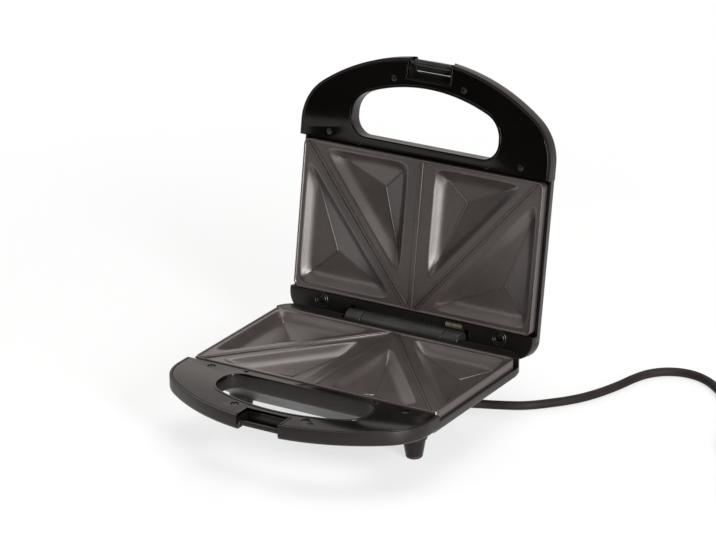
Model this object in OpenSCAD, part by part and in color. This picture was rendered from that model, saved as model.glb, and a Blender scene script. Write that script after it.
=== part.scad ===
// Sandwich toaster, open: two cast plates in two D-shaped half shells joined by a rear hinge.
// X runs to the right, Y to the back, Z up. The lid and its pieces are drawn closed, then opened.

/* [Plates] */
// Width of each cooking plate
plate_w = 218; // [214:1:222]
// Depth of each cooking plate, front to back
plate_d = 122; // [118:1:126]
// Height of the base plate's rim above the table
rim_z = 51; // [50:0.5:54]
// Depth of the steep pocket wall below the plate's field
pocket_wall = 7.5; // [6:0.5:8]
// Depth of the pocket's lowest point below the plate's field
pocket_depth = 11; // [9:0.5:11.5]

/* [Shells] */
// Distance from the plate's front edge to the handle's front
handle_reach = 80; // [78:1:84]
// Distance from the plate's side edge to the shell's side
side_margin = 3; // [2.5:0.5:4]
// Wall thickness of the moulded shells
wall = 2.2; // [2:0.1:2.6]
// Thickness of each handle half
handle_t = 12; // [11.5:0.5:13]
// Width of the finger hole in the handle
hole_w = 133; // [126:1:136]

/* [Lid] */
// Angle by which the lid stands open
open_angle = 99.5; // [90:0.5:104]
// Angle by which the latch lever is folded out
latch_angle = 184; // [120:4:184]

/* [Cord] */
// Outside diameter of the mains cord
cord_d = 7; // [6.5:0.1:7]

/* [Hidden] */
$fn = 48;

// Middle of the footprint, measured from the plates' centre
origin_y = 1.9;
// The two halves mirror each other about this height
part_gap = 0.5;
part_z = rim_z + part_gap / 2;
half_w = plate_w / 2;
half_d = plate_d / 2;
shell_hw = half_w + side_margin;
handle_hw = shell_hw + 1.5;
apex_y = -half_d - handle_reach;
handle_top = rim_z - 0.5;
handle_bottom = handle_top - handle_t;
handle_end = -half_d - 2.4;
side_top = rim_z - 7;
belly_z = 15;
pan_front = -half_d - 10;
base_rear = half_d + 13;
lid_rear = half_d + 21;
cover_t = 2.2;
cover_gap = 0.25;
eps = 0.01;

// Handle outline: a wide front arc that runs into two tighter corner arcs
front_r = 163;
corner_r = 42;
front_cy = apex_y + front_r;
corner_cx = handle_hw - corner_r;
corner_cy = front_cy - sqrt(pow(front_r - corner_r, 2) - pow(corner_cx, 2));
meet_a = atan2(corner_cy - front_cy, corner_cx);

// Finger hole
hole_hw = hole_w / 2;
hole_front_r = front_r - 23.5;
hole_corner_r = 20;
hole_rear_r = 14;
hole_rear = pan_front;

// Hinge
hinge_y = half_d + 15;
hinge_z = rim_z - 4;
barrel_r = 8;
barrel_hw = 37;
knuckle_w = 14.6;
knuckle_gap = 0.4;
knuckle_end = barrel_hw + knuckle_gap + knuckle_w;
pin_r = 2.5;
running = 0.05;
hinge_cut_hw = knuckle_end + 1.5;

// Latch
latch_hw = 15;
latch_y = apex_y + 5.5;
latch_z = part_z + (part_z - (handle_top - 7));
recess_hw = 19.3;
recess_back = -124;
slot_hw = 17.4;
slot_back = -128.4;

// Screws
screw_spots = [[87, -69.5], [31.5, -121.5]];
rear_screw = [82, 67.5];
plate_screw_y = [-34, 44];
plate_screw_top = 20.5;

// Feet
front_foot = [78, -41];
rear_foot = [43, 64];
foot_r_top = 9;
foot_r_low = 6.6;
pad_t = 3;

// ---------- outlines and lofts ----------
function arc(c, r, a0, a1, n) = [for (i = [0:n]) let (a = a0 + (a1 - a0) * i / n)
    [c[0] + r * cos(a), c[1] + r * sin(a)]];

function d_outline(inset, rear) = concat(
    [[handle_hw - inset, rear], [inset - handle_hw, rear]],
    arc([-corner_cx, corner_cy], corner_r - inset, 180, 180 - meet_a, 8),
    arc([0, front_cy], front_r - inset, 183 - meet_a, 357 + meet_a, 16),
    arc([corner_cx, corner_cy], corner_r - inset, 360 + meet_a, 360, 8));

function block_outline(hw, front, rear, rf, rr) = concat(
    arc([hw - rf, front + rf], rf, 270, 360, 5),
    arc([hw - rr, rear - rr], rr, 0, 90, 7),
    arc([rr - hw, rear - rr], rr, 90, 180, 7),
    arc([rf - hw, front + rf], rf, 180, 270, 5));

function ends_at(hw, r, cy, big_r) = cy - sqrt(pow(big_r - r, 2) - pow(hw - r, 2));
hole_corner_y = ends_at(hole_hw, hole_corner_r, front_cy, hole_front_r);
hole_meet = atan2(hole_corner_y - front_cy, hole_hw - hole_corner_r);
function hole_outline(grow) = concat(
    arc([hole_hw - hole_rear_r, hole_rear - hole_rear_r], hole_rear_r + grow, 0, 90, 6),
    arc([hole_rear_r - hole_hw, hole_rear - hole_rear_r], hole_rear_r + grow, 90, 180, 6),
    arc([hole_corner_r - hole_hw, hole_corner_y], hole_corner_r + grow, 180, 180 - hole_meet, 6),
    arc([0, front_cy], hole_front_r + grow, 182 - hole_meet, 358 + hole_meet, 12),
    arc([hole_hw - hole_corner_r, hole_corner_y], hole_corner_r + grow, 360 + hole_meet, 360, 6));

function unit(v) = v / norm(v);
function left_of(v) = [-v[1], v[0]];
function shifted(a, b, c, d) = let (u = unit(b - a), v = unit(c - b))
    b + (left_of(u) + left_of(v)) / (1 + u * v) * d;
function inset_poly(p, d) = let (n = len(p))
    [for (i = [0:n - 1]) shifted(p[(i + n - 1) % n], p[i], p[(i + 1) % n], d)];
function turn_of(u, v) = let (t = atan2(u[0] * v[1] - u[1] * v[0], u * v)) t;
function fillet(p, r, n) = let (m = len(p))
    [for (i = [0:m - 1])
        let (a = p[(i + m - 1) % m], b = p[i], c = p[(i + 1) % m],
            u = unit(b - a), v = unit(c - b), a0 = atan2(-u[0], u[1]))
        each arc(shifted(a, b, c, r), r, a0, a0 + turn_of(u, v), n)];

// A solid through level outlines of equal length, each [points, height], lowest first
module loft(levels, tip) {
    n = len(levels[0][0]);
    m = len(levels);
    ring_points = [for (l = levels) for (q = l[0]) [q[0], q[1], l[1]]];
    tip_points = tip == undef ? [] : [tip];
    low_cap = tip == undef ? [[for (i = [0:n - 1]) i]]
        : [for (i = [0:n - 1]) [n * m, i, (i + 1) % n]];
    high_cap = [[for (i = [0:n - 1]) n * m - 1 - i]];
    sides = [for (k = [0:m - 2]) for (i = [0:n - 1]) let (a = k * n + i, d = k * n + (i + 1) % n)
        each [[a, a + n, d + n], [a, d + n, d]]];
    polyhedron(concat(ring_points, tip_points), concat(low_cap, sides, high_cap));
}

module slab(outline, z0, z1) {
    translate([0, 0, z0]) linear_extrude(z1 - z0) polygon(outline);
}

module block(x0, x1, y0, y1, z0, z1) {
    translate([x0, y0, z0]) cube([x1 - x0, y1 - y0, z1 - z0]);
}

module rod_x(x0, x1, y, z, r) {
    translate([x0, y, z]) rotate([0, 90, 0]) cylinder(h = x1 - x0, r = r);
}

module both_sides() {
    children();
    mirror([1, 0, 0]) children();
}

// ---------- placing ----------
module in_frame() translate([0, -origin_y, 0]) children();

module opened() {
    in_frame() translate([0, hinge_y, hinge_z]) rotate([-open_angle, 0, 0])
        translate([0, -hinge_y, -hinge_z]) children();
}

// Turns a base shape into its mirror image in the closed lid
module flipped() translate([0, 0, 2 * part_z]) mirror([0, 0, 1]) children();

// ---------- shells ----------
// Each belly level is [inset at the sides, height]; the front draws in more and the back less
belly_levels = [[38, belly_z], [33, belly_z + 0.7], [28, belly_z + 3], [20, belly_z + 8.5],
    [11, belly_z + 15], [5, belly_z + 19.5], [1.2, belly_z + 22], [0, belly_z + 24]];
front_draw = 0.87;
rear_draw = 0.75;

function belly_outline(inset, grow, rear) = block_outline(shell_hw - inset - grow,
    pan_front + inset * front_draw + grow, rear - inset * rear_draw - grow,
    5 + inset * 0.3, 17 + inset * 0.2);

module pan(grow, lift, top, rear) {
    loft(concat([for (l = belly_levels) [belly_outline(l[0], grow, rear), l[1] + lift]],
        [[belly_outline(0, grow, rear), top]]));
}

module handle_body() {
    loft([[d_outline(3, handle_end), handle_bottom], [d_outline(1.3, handle_end), handle_bottom + 0.6],
        [d_outline(0.4, handle_end), handle_bottom + 1.6], [d_outline(0, handle_end), handle_bottom + 3],
        [d_outline(0, handle_end), handle_top]]);
}

module handle_cavity() {
    slab(d_outline(wall, pan_front - eps), handle_bottom + wall, handle_top + 1);
}

module rear_deck(rear) {
    difference() {
        intersection() {
            slab(belly_outline(0, 0, rear), side_top - 4, handle_top);
            block(-200, 200, half_d + 0.8, rear + 1, 0, 100);
        }
        intersection() {
            slab(belly_outline(0, wall, rear), side_top - 5, handle_top - wall);
            block(-200, 200, half_d + 0.8 + wall, rear, 0, 100);
        }
    }
}

module screw_post(p, r, z0, z1) {
    translate([p[0], p[1], z0]) cylinder(h = z1 - z0, r = r);
}

// The half shell that both halves share, drawn as the base
module half_shell(rear, cut_z) {
    difference() {
        union() {
            difference() {
                union() {
                    handle_body();
                    pan(0, 0, side_top, rear);
                }
                handle_cavity();
                pan(wall, wall, handle_top + 1, rear);
                slab(d_outline(wall, handle_end + 5), handle_top - cover_t - cover_gap, 100);
            }
            rear_deck(rear);
            slab(hole_outline(2), handle_bottom + 0.8, handle_top - cover_t - cover_gap);
            both_sides() for (p = screw_spots)
                screw_post(p, 4, handle_bottom + 0.5, handle_top - cover_t - cover_gap);
            for (y = plate_screw_y) screw_post([0, y], 5, belly_z + 1.5, rim_z - 12);
        }
        slab(hole_outline(0), 0, 100);
        both_sides() for (p = screw_spots) screw_post(p, 1.3, handle_bottom + 3, 100);
        for (y = plate_screw_y) {
            screw_post([0, y], 1.8, 0, 100);
            screw_post([0, y], 3.6, 0, plate_screw_top);
        }
        block(-hinge_cut_hw, hinge_cut_hw, hinge_y - 9.5, 200, cut_z, 100);
    }
}

// ---------- base ----------
catch_z0 = handle_bottom + 4;
catch_z1 = handle_bottom + 7.6;

module base_shell() {
    color([0.1, 0.09, 0.09]) in_frame() {
        difference() {
            union() {
                difference() {
                    half_shell(base_rear, hinge_z - 11.2);
                    block(-18.5, 18.5, apex_y - 5, recess_back, 0, 100);
                }
                // pocket behind the catch bar
                block(-20.3, 20.3, recess_back, recess_back + 1.6, handle_bottom + 0.3, handle_top - 2.6);
                both_sides() block(18.5, 20.3, apex_y + 2, recess_back + 1, handle_bottom + 1.5, handle_top - 2.6);
                block(-18.6, 18.6, apex_y + 12, recess_back + 1, handle_bottom + 0.3, handle_bottom + 2.3);
                // catch bar with the round nub at its left end
                block(-19, 19, apex_y + 2.4, apex_y + 5.6, catch_z0, catch_z1);
                rod_x(-18.6, -15.6, apex_y + 4, catch_z0 + 0.6, 2.8);
                // sockets of the feet, and the housing of the cord outlet
                both_sides() {
                    screw_post(front_foot, foot_r_top + 1.2, front_socket_z - 3, front_socket_z + 9);
                    screw_post(rear_foot, foot_r_top + 0.6, rear_socket_z, rear_socket_z + 12);
                }
                at_outlet() block(-34, 0, -outlet_hw, outlet_hw, 2.8 - outlet[2], belly_z + 1 - outlet[2]);
            }
            both_sides() {
                screw_post(front_foot, foot_r_top, 0, front_socket_z);
                screw_post(rear_foot, foot_r_top, 0, rear_socket_z);
                screw_post(front_foot, foot_r_top - 3, 0, front_socket_z + 5);
                screw_post(rear_foot, foot_r_top - 3, 0, rear_socket_z + 5);
            }
            at_outlet() block(-32, -outlet_wall, 2.2 - outlet_hw, outlet_hw - 2.2, 5 - outlet[2], 20 - outlet[2]);
            along_outlet() translate([0, 0, -8]) cylinder(h = 20, r = relief_r);
        }
    }
}

module handle_cover_shape() {
    difference() {
        union() {
            slab(d_outline(wall + cover_gap, handle_end), handle_top - cover_t, handle_top);
            slab(hole_outline(2.2), handle_top - cover_t - 0.1, handle_top + 0.5);
        }
        slab(hole_outline(0), 0, 100);
        both_sides() for (p = screw_spots) {
            screw_post(p, 1.7, 0, 100);
            screw_post(p, 3.3, handle_top - 1.2, 100);
        }
    }
}

module notch_frame(hw, back) {
    difference() {
        block(-hw - 1.4, hw + 1.4, apex_y - 5, back + 1.4, handle_top - cover_t, handle_top + 0.4);
        block(-hw, hw, apex_y - 6, back, 0, 100);
    }
}

module base_handle_cover() {
    color([0.12, 0.11, 0.11]) in_frame() difference() {
        union() {
            handle_cover_shape();
            intersection() {
                notch_frame(18.5, recess_back);
                slab(d_outline(wall + cover_gap, handle_end), 0, 100);
            }
        }
        block(-18.5, 18.5, apex_y - 5, recess_back, 0, 100);
    }
}

// A pan-head screw with a crossed recess; its head sits with its underside at z
module screw(z, head_r, head_t, shank_r, length) {
    difference() {
        union() {
            translate([0, 0, z]) cylinder(h = head_t, r = head_r);
            translate([0, 0, z - length]) cylinder(h = length + eps, r = shank_r);
        }
        for (a = [0, 90]) rotate([0, 0, a])
            block(-head_r * 0.62, head_r * 0.62, -0.3, 0.3, z + head_t * 0.4, z + head_t + 1);
    }
}

module cover_screw_set() {
    both_sides() for (p = screw_spots)
        translate([p[0], p[1], 0]) screw(handle_top - 1.2, 2.7, 0.9, 1.3, 7);
}

module base_cover_screws() color([0.45, 0.45, 0.46]) in_frame() cover_screw_set();

// ---------- plates ----------
ridge_x = 2;
ridge_slope = (half_w - 3 - ridge_x) / plate_d;
pocket_gap = 10.6;
pocket_edge = half_d - 4.6;
function ridge_at(y, side) = ridge_x + side * pocket_gap + (half_d - y) * ridge_slope;
function ridge_y(x, side) = half_d - (x - ridge_x - side * pocket_gap) / ridge_slope;
inner_x = 12;
outer_x = half_w - 4;
front_pocket = [[inner_x, -pocket_edge], [ridge_at(-pocket_edge, -1), -pocket_edge],
    [inner_x, ridge_y(inner_x, -1)]];
rear_pocket = [[outer_x, pocket_edge], [ridge_at(pocket_edge, 1), pocket_edge],
    [outer_x, ridge_y(outer_x, 1)]];
field_z = rim_z - 1;
function incentre(t) = let (a = norm(t[1] - t[2]), b = norm(t[2] - t[0]), c = norm(t[0] - t[1]))
    (a * t[0] + b * t[1] + c * t[2]) / (a + b + c);

// The hollow of one pocket, or with a negative inset the casting round it
module pocket(t, inset, top) {
    c = incentre(t);
    loft([[fillet(inset_poly(t, 9.5 + inset), 3, 4), field_z - pocket_wall + inset],
        [fillet(inset_poly(t, 7.2 + inset), 5, 4), field_z - pocket_wall * 0.86 + inset],
        [fillet(inset_poly(t, 2.6 + inset), 6, 4), field_z - pocket_wall * 0.35 + inset],
        [fillet(inset_poly(t, 0.6 + inset), 6, 4), field_z - 0.5 + inset / 2],
        [fillet(inset_poly(t, inset), 6, 4), top]],
        [c[0], c[1], field_z - pocket_depth + inset]);
}

module ridges() {
    block(-1.5, 1.5, -half_d + 1, half_d - 1, field_z - 1, rim_z - 0.2);
    both_sides() for (s = [-1.6, 1.6])
        slab([[ridge_at(half_d - 1.5, 0) + s - 0.7, half_d - 1.5], [ridge_at(1.5 - half_d, 0) + s - 0.7, 1.5 - half_d],
            [ridge_at(1.5 - half_d, 0) + s + 0.7, 1.5 - half_d], [ridge_at(half_d - 1.5, 0) + s + 0.7, half_d - 1.5]],
            field_z - 1, rim_z - 0.3);
}

module plate_shape() {
    plan = block_outline(half_w, -half_d, half_d, 5, 5);
    skirt = block_outline(half_w - 2.5, -half_d + 2.5, half_d - 2.5, 2.5, 2.5);
    rim_in = block_outline(half_w - 1.6, -half_d + 1.6, half_d - 1.6, 3.4, 3.4);
    difference() {
        union() {
            difference() {
                slab(plan, rim_z - 8, rim_z);
                slab(skirt, 0, field_z - 3);
                slab(rim_in, field_z, rim_z + 1);
            }
            intersection() {
                slab(rim_in, 0, rim_z);
                ridges();
            }
            both_sides() {
                pocket(front_pocket, -3, field_z - 1);
                pocket(rear_pocket, -3, field_z - 1);
            }
            for (y = plate_screw_y) screw_post([0, y], 4.2, rim_z - 11.6, field_z - 1);
        }
        both_sides() {
            pocket(front_pocket, 0, rim_z + 1);
            pocket(rear_pocket, 0, rim_z + 1);
        }
        for (y = plate_screw_y) screw_post([0, y], 1.4, 0, field_z - 3.5);
    }
}

module base_plate() color([0.25, 0.22, 0.21]) in_frame() plate_shape();

// ---------- heating ----------
element_r = 3.2;
element_z = field_z - pocket_depth - 7.4;
element_leg = 25;
element_x = 62;
element_end = 50;

module element_tube() {
    for (s = [-1, 1]) {
        rod_x(-element_x, element_end, s * element_leg, element_z, element_r);
        translate([-element_x, s * (element_leg - 12), element_z]) rotate([0, 0, s > 0 ? 90 : 180])
            rotate_extrude(angle = 90) translate([12, 0]) circle(r = element_r);
        translate([-element_x - 12, s * (element_leg - 12), element_z]) rotate([s * 90, 0, 0])
            cylinder(h = 9, r = 1.6);
    }
    translate([element_end, 0, element_z]) rotate([0, 0, -90]) rotate_extrude(angle = 180)
        translate([element_leg, 0]) circle(r = element_r);
}

module strap_set() {
    for (x = [-30, 30]) difference() {
        block(x - 5, x + 5, -element_leg - 7, element_leg + 7, element_z - element_r - 1.2, element_z + 1.4);
        for (s = [-1, 1]) rod_x(x - 6, x + 6, s * element_leg, element_z, element_r + 0.05);
        block(x - 6, x + 6, 7 - element_leg, element_leg - 7, element_z - element_r, element_z + 2);
    }
}

wire_hole = [-8, 8];
module reflector_shape() {
    z0 = element_z - element_r - 3.4;
    outer = block_outline(80, -41.5, 37, 6, 6);
    inner = block_outline(79.4, -40.9, 36.4, 5.4, 5.4);
    difference() {
        slab(outer, z0, z0 + 5);
        slab(inner, z0 + 0.6, z0 + 6);
        screw_post([0, plate_screw_y[0]], 6, 0, 100);
        both_sides() screw_post(front_foot, foot_r_top + 1.9, 0, 100);
        screw_post(wire_hole, 4, 0, 100);
    }
}

module plate_screw_set() {
    for (y = plate_screw_y) translate([0, y, plate_screw_top]) rotate([180, 0, 0])
        screw(0, 3.2, 2, 1.4, field_z - 4 - plate_screw_top);
}

module base_element() color([0.35, 0.33, 0.3]) in_frame() element_tube();
module base_element_straps() color([0.72, 0.72, 0.72]) in_frame() strap_set();
module base_reflector() color([0.8, 0.8, 0.8]) in_frame() reflector_shape();
module base_plate_screws() color([0.6, 0.6, 0.6]) in_frame() plate_screw_set();

module thermostat() color([0.85, 0.84, 0.8]) in_frame() {
    screw_post([0, 12], 7, field_z - 9, field_z - 3);
    block(-3, 3, 6, 18, field_z - 11, field_z - 9);
}

module terminal_block() color([0.9, 0.9, 0.86]) in_frame() difference() {
    block(-50, -26, 14, 28, belly_z + wall, belly_z + wall + 7);
    for (x = [-46, -38, -30]) screw_post([x, 21], 1.6, belly_z + wall + 2, 100);
}

base_wire_z = belly_z + wall + 5;
sheath_z = belly_z + wall + 3.7;
module base_leads() color([0.75, 0.7, 0.55]) in_frame() {
    tube([[-50, 18, base_wire_z], [-53, 18, base_wire_z], [-66, 17, base_wire_z + 0.6],
        [-83, 15, base_wire_z + 1.1], [-86, 10, element_z - 1], [-83, 6, element_z],
        [-75.7, 6, element_z]], 1.1, 10);
    tube([[-50, 24, base_wire_z], [-51.5, 24, base_wire_z], [-53.5, 24.8, base_wire_z], [-60, 42, base_wire_z + 2], [-60, 60, element_z + 4]],
        1.1, 10);
    tube([[-26, 16.5, base_wire_z], [-25, 16.5, base_wire_z], [-24.1, 15.6, base_wire_z], [-23.8, 13.6, base_wire_z], [-22, 11.2, base_wire_z],
        [-16, 9.2, base_wire_z + 0.3], [-9.5, 8.2, base_wire_z + 3], [wire_hole[0], wire_hole[1], field_z - 18],
        [wire_hole[0] + 1, wire_hole[1] + 0.5, field_z - 14], [-4, 10, field_z - 12.2]], 1.1, 10);
    inner_end = outlet - [cos(outlet_turn), sin(outlet_turn), 0] * 5.4;
    tube([inner_end, outlet - [cos(outlet_turn), sin(outlet_turn), 0] * 12, [4.5, 31.2, 10.6], [0.5, 29.4, 14],
        [-3.2, 27.4, 18.2], [-6, 25.8, 20.4], [-8.2, 25.1, sheath_z], [-9.8, 25, sheath_z], [-26, 25, sheath_z]], 3.4, 12);
}

// ---------- feet ----------
front_socket_z = belly_z + 4;
rear_socket_z = belly_z + 8;

module foot(p, top) {
    translate([p[0], p[1], 0]) {
        translate([0, 0, pad_t]) cylinder(h = belly_z + 0.9 - pad_t, r1 = foot_r_low + 0.3, r2 = foot_r_top);
        translate([0, 0, belly_z + 0.8]) cylinder(h = top - belly_z - 0.9, r = foot_r_top - 0.06);
        translate([0, 0, top - 0.2]) cylinder(h = 4, r = foot_r_top - 3.15);
    }
}

module front_feet() color([0.1, 0.09, 0.09]) in_frame() both_sides() foot(front_foot, front_socket_z);
module rear_feet() color([0.1, 0.09, 0.09]) in_frame() both_sides() foot(rear_foot, rear_socket_z);

module foot_pads() color([0.14, 0.13, 0.13]) in_frame() both_sides() for (p = [front_foot, rear_foot])
    translate([p[0], p[1], 0]) rotate_extrude() polygon([[0, 0], [foot_r_low - 1.6, 0],
        [foot_r_low - 0.5, 0.5], [foot_r_low, 1.5], [foot_r_low + 0.3, pad_t], [0, pad_t]]);

// ---------- hinge ----------
module hinge_bracket() color([0.2, 0.2, 0.2]) in_frame() difference() {
    union() {
        block(-hinge_cut_hw + 0.2, hinge_cut_hw - 0.2, hinge_y - 11.6, base_rear - 0.2, hinge_z - 11.2, hinge_z - 8.8);
        block(-hinge_cut_hw + 0.2, hinge_cut_hw - 0.2, hinge_y - 11.6, hinge_y - 9.4, hinge_z - 11.2, handle_top - 2.4);
        both_sides() {
            rod_x(barrel_hw + knuckle_gap, knuckle_end, hinge_y, hinge_z, barrel_r);
            block(barrel_hw + knuckle_gap, knuckle_end, hinge_y - barrel_r, hinge_y + 1, hinge_z - 9, hinge_z);
            block(barrel_hw + knuckle_gap, barrel_hw + 9, hinge_y, hinge_y + barrel_r + 0.2, hinge_z - 11.2, hinge_z - 7);
        }
    }
    both_sides() rod_x(barrel_hw - 1, knuckle_end - 2, hinge_y, hinge_z, pin_r);
}

module hinge_pins() color([0.7, 0.7, 0.72]) in_frame()
    both_sides() rod_x(22, knuckle_end - 2, hinge_y, hinge_z, pin_r);

module hinge_barrel() color([0.2, 0.2, 0.2]) opened() difference() {
    union() {
        rod_x(-barrel_hw, barrel_hw, hinge_y, hinge_z, barrel_r);
        block(-barrel_hw, barrel_hw, hinge_y - 5, hinge_y + 5.6, hinge_z + 4, hinge_z + 11.4);
        block(-hinge_cut_hw + 0.2, hinge_cut_hw - 0.2, hinge_y - 9.3, lid_rear - 0.2, hinge_z + 9.6, hinge_z + 11.8);
    }
    rod_x(-barrel_hw - 1, barrel_hw + 1, hinge_y, hinge_z, pin_r + running);
}

module lead_sleeve() color([0.55, 0.52, 0.36]) opened()
    rod_x(33, 48, half_d + 4.6, rim_z + 3.4, 2.4);

// ---------- lid ----------
module lid_shell() {
    color([0.1, 0.09, 0.09]) opened() difference() {
        union() {
            difference() {
                flipped() half_shell(lid_rear, 2 * part_z - hinge_z - 11.8);
                block(-recess_hw, recess_hw, apex_y - 5, recess_back, 0, latch_z + 1.6);
            }
            // cheeks that carry the latch pin, and the back wall of the recess
            flipped() {
                both_sides() block(slot_hw, recess_hw + 1.6, apex_y + 1.6, recess_back + 1, handle_bottom + 0.6,
                    handle_top - 2.6);
                block(-recess_hw - 1, recess_hw + 1, recess_back, recess_back + 1.6, handle_bottom + 0.6,
                    handle_top - 2.6);
            }
            // bosses for the rear screws, and the deck between the plate and the hinge
            flipped() both_sides() screw_post(rear_screw, 4, handle_top - 12, handle_top - 1);
        }
        block(-slot_hw, slot_hw, apex_y - 5, slot_back, 0, 100);
        rod_x(-recess_hw - 0.6, recess_hw + 0.6, latch_y, latch_z, 1.5);
        rod_x(32.5, 48.5, half_d + 4.6, rim_z + 3.4, 2.45);
        flipped() both_sides() {
            screw_post(rear_screw, 1.3, handle_top - 10, 100);
            screw_post(rear_screw, 3.3, handle_top - 1, 100);
        }
        for (x = [-14, 14]) screw_post([x, lens_y], lens_r, 60, 100);
    }
}

module lid_handle_cover() color([0.08, 0.08, 0.08]) opened() flipped() difference() {
    union() {
        handle_cover_shape();
        intersection() {
            notch_frame(recess_hw, recess_back);
            slab(d_outline(wall + cover_gap, handle_end), 0, 100);
        }
    }
    block(-recess_hw, recess_hw, apex_y - 5, recess_back, 0, 100);
}

module lid_cover_screws() color([0.45, 0.45, 0.46]) opened() flipped() cover_screw_set();
module lid_plate() color([0.25, 0.22, 0.21]) opened() flipped() plate_shape();
module lid_element() color([0.35, 0.33, 0.3]) opened() flipped() element_tube();
module lid_element_straps() color([0.72, 0.72, 0.72]) opened() flipped() strap_set();
module lid_reflector() color([0.8, 0.8, 0.8]) opened() flipped() reflector_shape();
module lid_plate_screws() color([0.6, 0.6, 0.6]) opened() flipped() plate_screw_set();

module thermal_fuse() color([0.75, 0.75, 0.78]) opened() flipped() {
    translate([0, 6, field_z - 5.2]) rotate([-90, 0, 0]) cylinder(h = 12, r = 2.1);
    block(-5, 5, 9, 15, field_z - 7.9, field_z - 7.3);
}

module lid_leads() color([0.75, 0.7, 0.55]) opened() flipped() {
    tube([[-75.7, 6, element_z], [-84, 6, element_z], [-84, 36, element_z - 1], [-62, 55, element_z],
        [28, 57, element_z], [40, 60, element_z + 3]], 1.1, 10);
    tube([[0, 18.2, field_z - 5.2], [4, 28, field_z - 8], [12, 40, field_z - 12], [18, 52, element_z + 5],
        [40, 56, element_z + 5]], 1.1, 10);
}

module lid_rear_screws() color([0.45, 0.45, 0.46]) opened() flipped() both_sides()
    translate([rear_screw[0], rear_screw[1], 0]) screw(handle_top - 1, 3, 1, 1.3, 8);

// ---------- indicator lamps on the lid's outer face ----------
lens_y = -4;
lens_r = 3.4;
lens_z = 2 * part_z - belly_z;

module lens(x) {
    translate([x, lens_y, lens_z - wall]) cylinder(h = wall + 0.2, r = lens_r - 0.1);
    translate([x, lens_y, lens_z - wall - 1]) cylinder(h = 1, r = lens_r + 1.2);
    translate([x, lens_y, lens_z + 0.2 - eps]) cylinder(h = 0.7, r1 = lens_r - 0.1, r2 = lens_r - 1);
}

module power_lens() color([0.7, 0.05, 0.03]) opened() lens(-14);
module ready_lens() color([0.05, 0.5, 0.12]) opened() lens(14);
module lamps() color([0.9, 0.7, 0.5]) opened() for (x = [-14, 14])
    translate([x, lens_y, lens_z - wall - 4.4]) cylinder(h = 3.3, r = 2);

// ---------- latch ----------
module latch_pin() color([0.7, 0.7, 0.72]) opened()
    rod_x(-recess_hw - 0.5, recess_hw + 0.5, latch_y, latch_z, 1.5);

// Drawn hooked on the base, then folded out by the latch angle
module latch_lever() color([0.17, 0.17, 0.17]) opened()
    translate([0, latch_y, latch_z]) rotate([-latch_angle, 0, 0]) difference() {
        arm_low = catch_z0 - 2.8 - latch_z;
        union() {
            rod_x(-slot_hw + 0.4, slot_hw - 0.4, 0, 0, 3.2);
            block(-latch_hw, latch_hw, -5.9, -0.5, -3.2, 0);
            block(-latch_hw, latch_hw, -5.9, -3.5, arm_low, 0);
            block(-latch_hw + 1, latch_hw - 1, -4, 1, arm_low, arm_low + 2.1);
            block(-latch_hw, latch_hw, -8, -5, arm_low, arm_low + 1.6);
        }
        rod_x(-slot_hw, slot_hw, 0, 0, 1.5 + running);
    }

// ---------- cord ----------
outlet = [21, 38.5, 9.2];
outlet_turn = 24;
outlet_hw = 9.5;
outlet_wall = 2.4;
relief_r = 4.6;
relief_len = 24;
module at_outlet() translate(outlet) rotate([0, 0, outlet_turn]) children();
module along_outlet() at_outlet() rotate([0, 90, 0]) children();

module strain_relief() color([0.09, 0.09, 0.09]) in_frame() along_outlet() {
    intersection() {
        translate([0, 0, -5.4]) cylinder(h = 5.4 - outlet_wall, r = 6);
        translate([-7, -7, -6]) cube([11, 14, 6]);
    }
    translate([0, 0, -outlet_wall - 0.1]) cylinder(h = outlet_wall + 0.2, r = relief_r);
    cylinder(h = 2, r = 5.8);
    translate([0, 0, 1.9]) cylinder(h = relief_len - 1.9, r1 = 4.9, r2 = cord_r + 0.5);
}

module cord_clamp() color([0.3, 0.3, 0.3]) in_frame() difference() {
    block(-22, -10, 14, 36, belly_z + wall, belly_z + wall + 7.6);
    rod_x(-23, -9, 25, sheath_z, 3.6);
    for (y = [17.5, 32.5]) screw_post([-16, y], 1.4, 0, 100);
}

module cord_clamp_screws() color([0.6, 0.6, 0.6]) in_frame() for (y = [17.5, 32.5])
    translate([-16, y, 0]) screw(belly_z + wall + 7.6, 2.6, 0.15, 1.4, 7.4);

cord_r = cord_d / 2;
outlet_dir = [cos(outlet_turn), sin(outlet_turn), 0];
cord_start = outlet + outlet_dir * relief_len;

// The cord's free route on the table, from the strain relief to the coil, as [x, y, height]
route = [[48, 50.9, 8.6], [54, 54, 6.9], [61, 57.8, 5], [68, 61.6, 3.8], [76, 65.6, 3.5],
    [85, 69.2, 3.5], [95, 73.6, 3.5], [105, 79, 3.5], [114, 86.4, 3.5], [123, 96, 3.5],
    [131, 105.5, 3.5], [138.5, 117, 3.5], [144.5, 130, 3.5], [149, 143, 3.5], [152.5, 156, 3.5],
    [155.5, 170, 3.5], [160.5, 184, 3.5], [169.5, 195, 3.5], [182, 201, 3.5], [196, 201, 3.5],
    [209.5, 195.5, 3.5], [222, 186, 3.5], [233.5, 174.5, 3.5], [244, 161.5, 3.6], [253.5, 147.5, 3.7],
    [262, 132.5, 3.9], [269.5, 116, 4.1]];
// From the coil up to the back of the plug
tail = [[337, 59.3, 12.6], [345.5, 55.8, 13.8], [352.5, 49.5, 15.4], [357, 41.5, 17.3]];
plug_at = [359, 32, 18.5];

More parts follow.
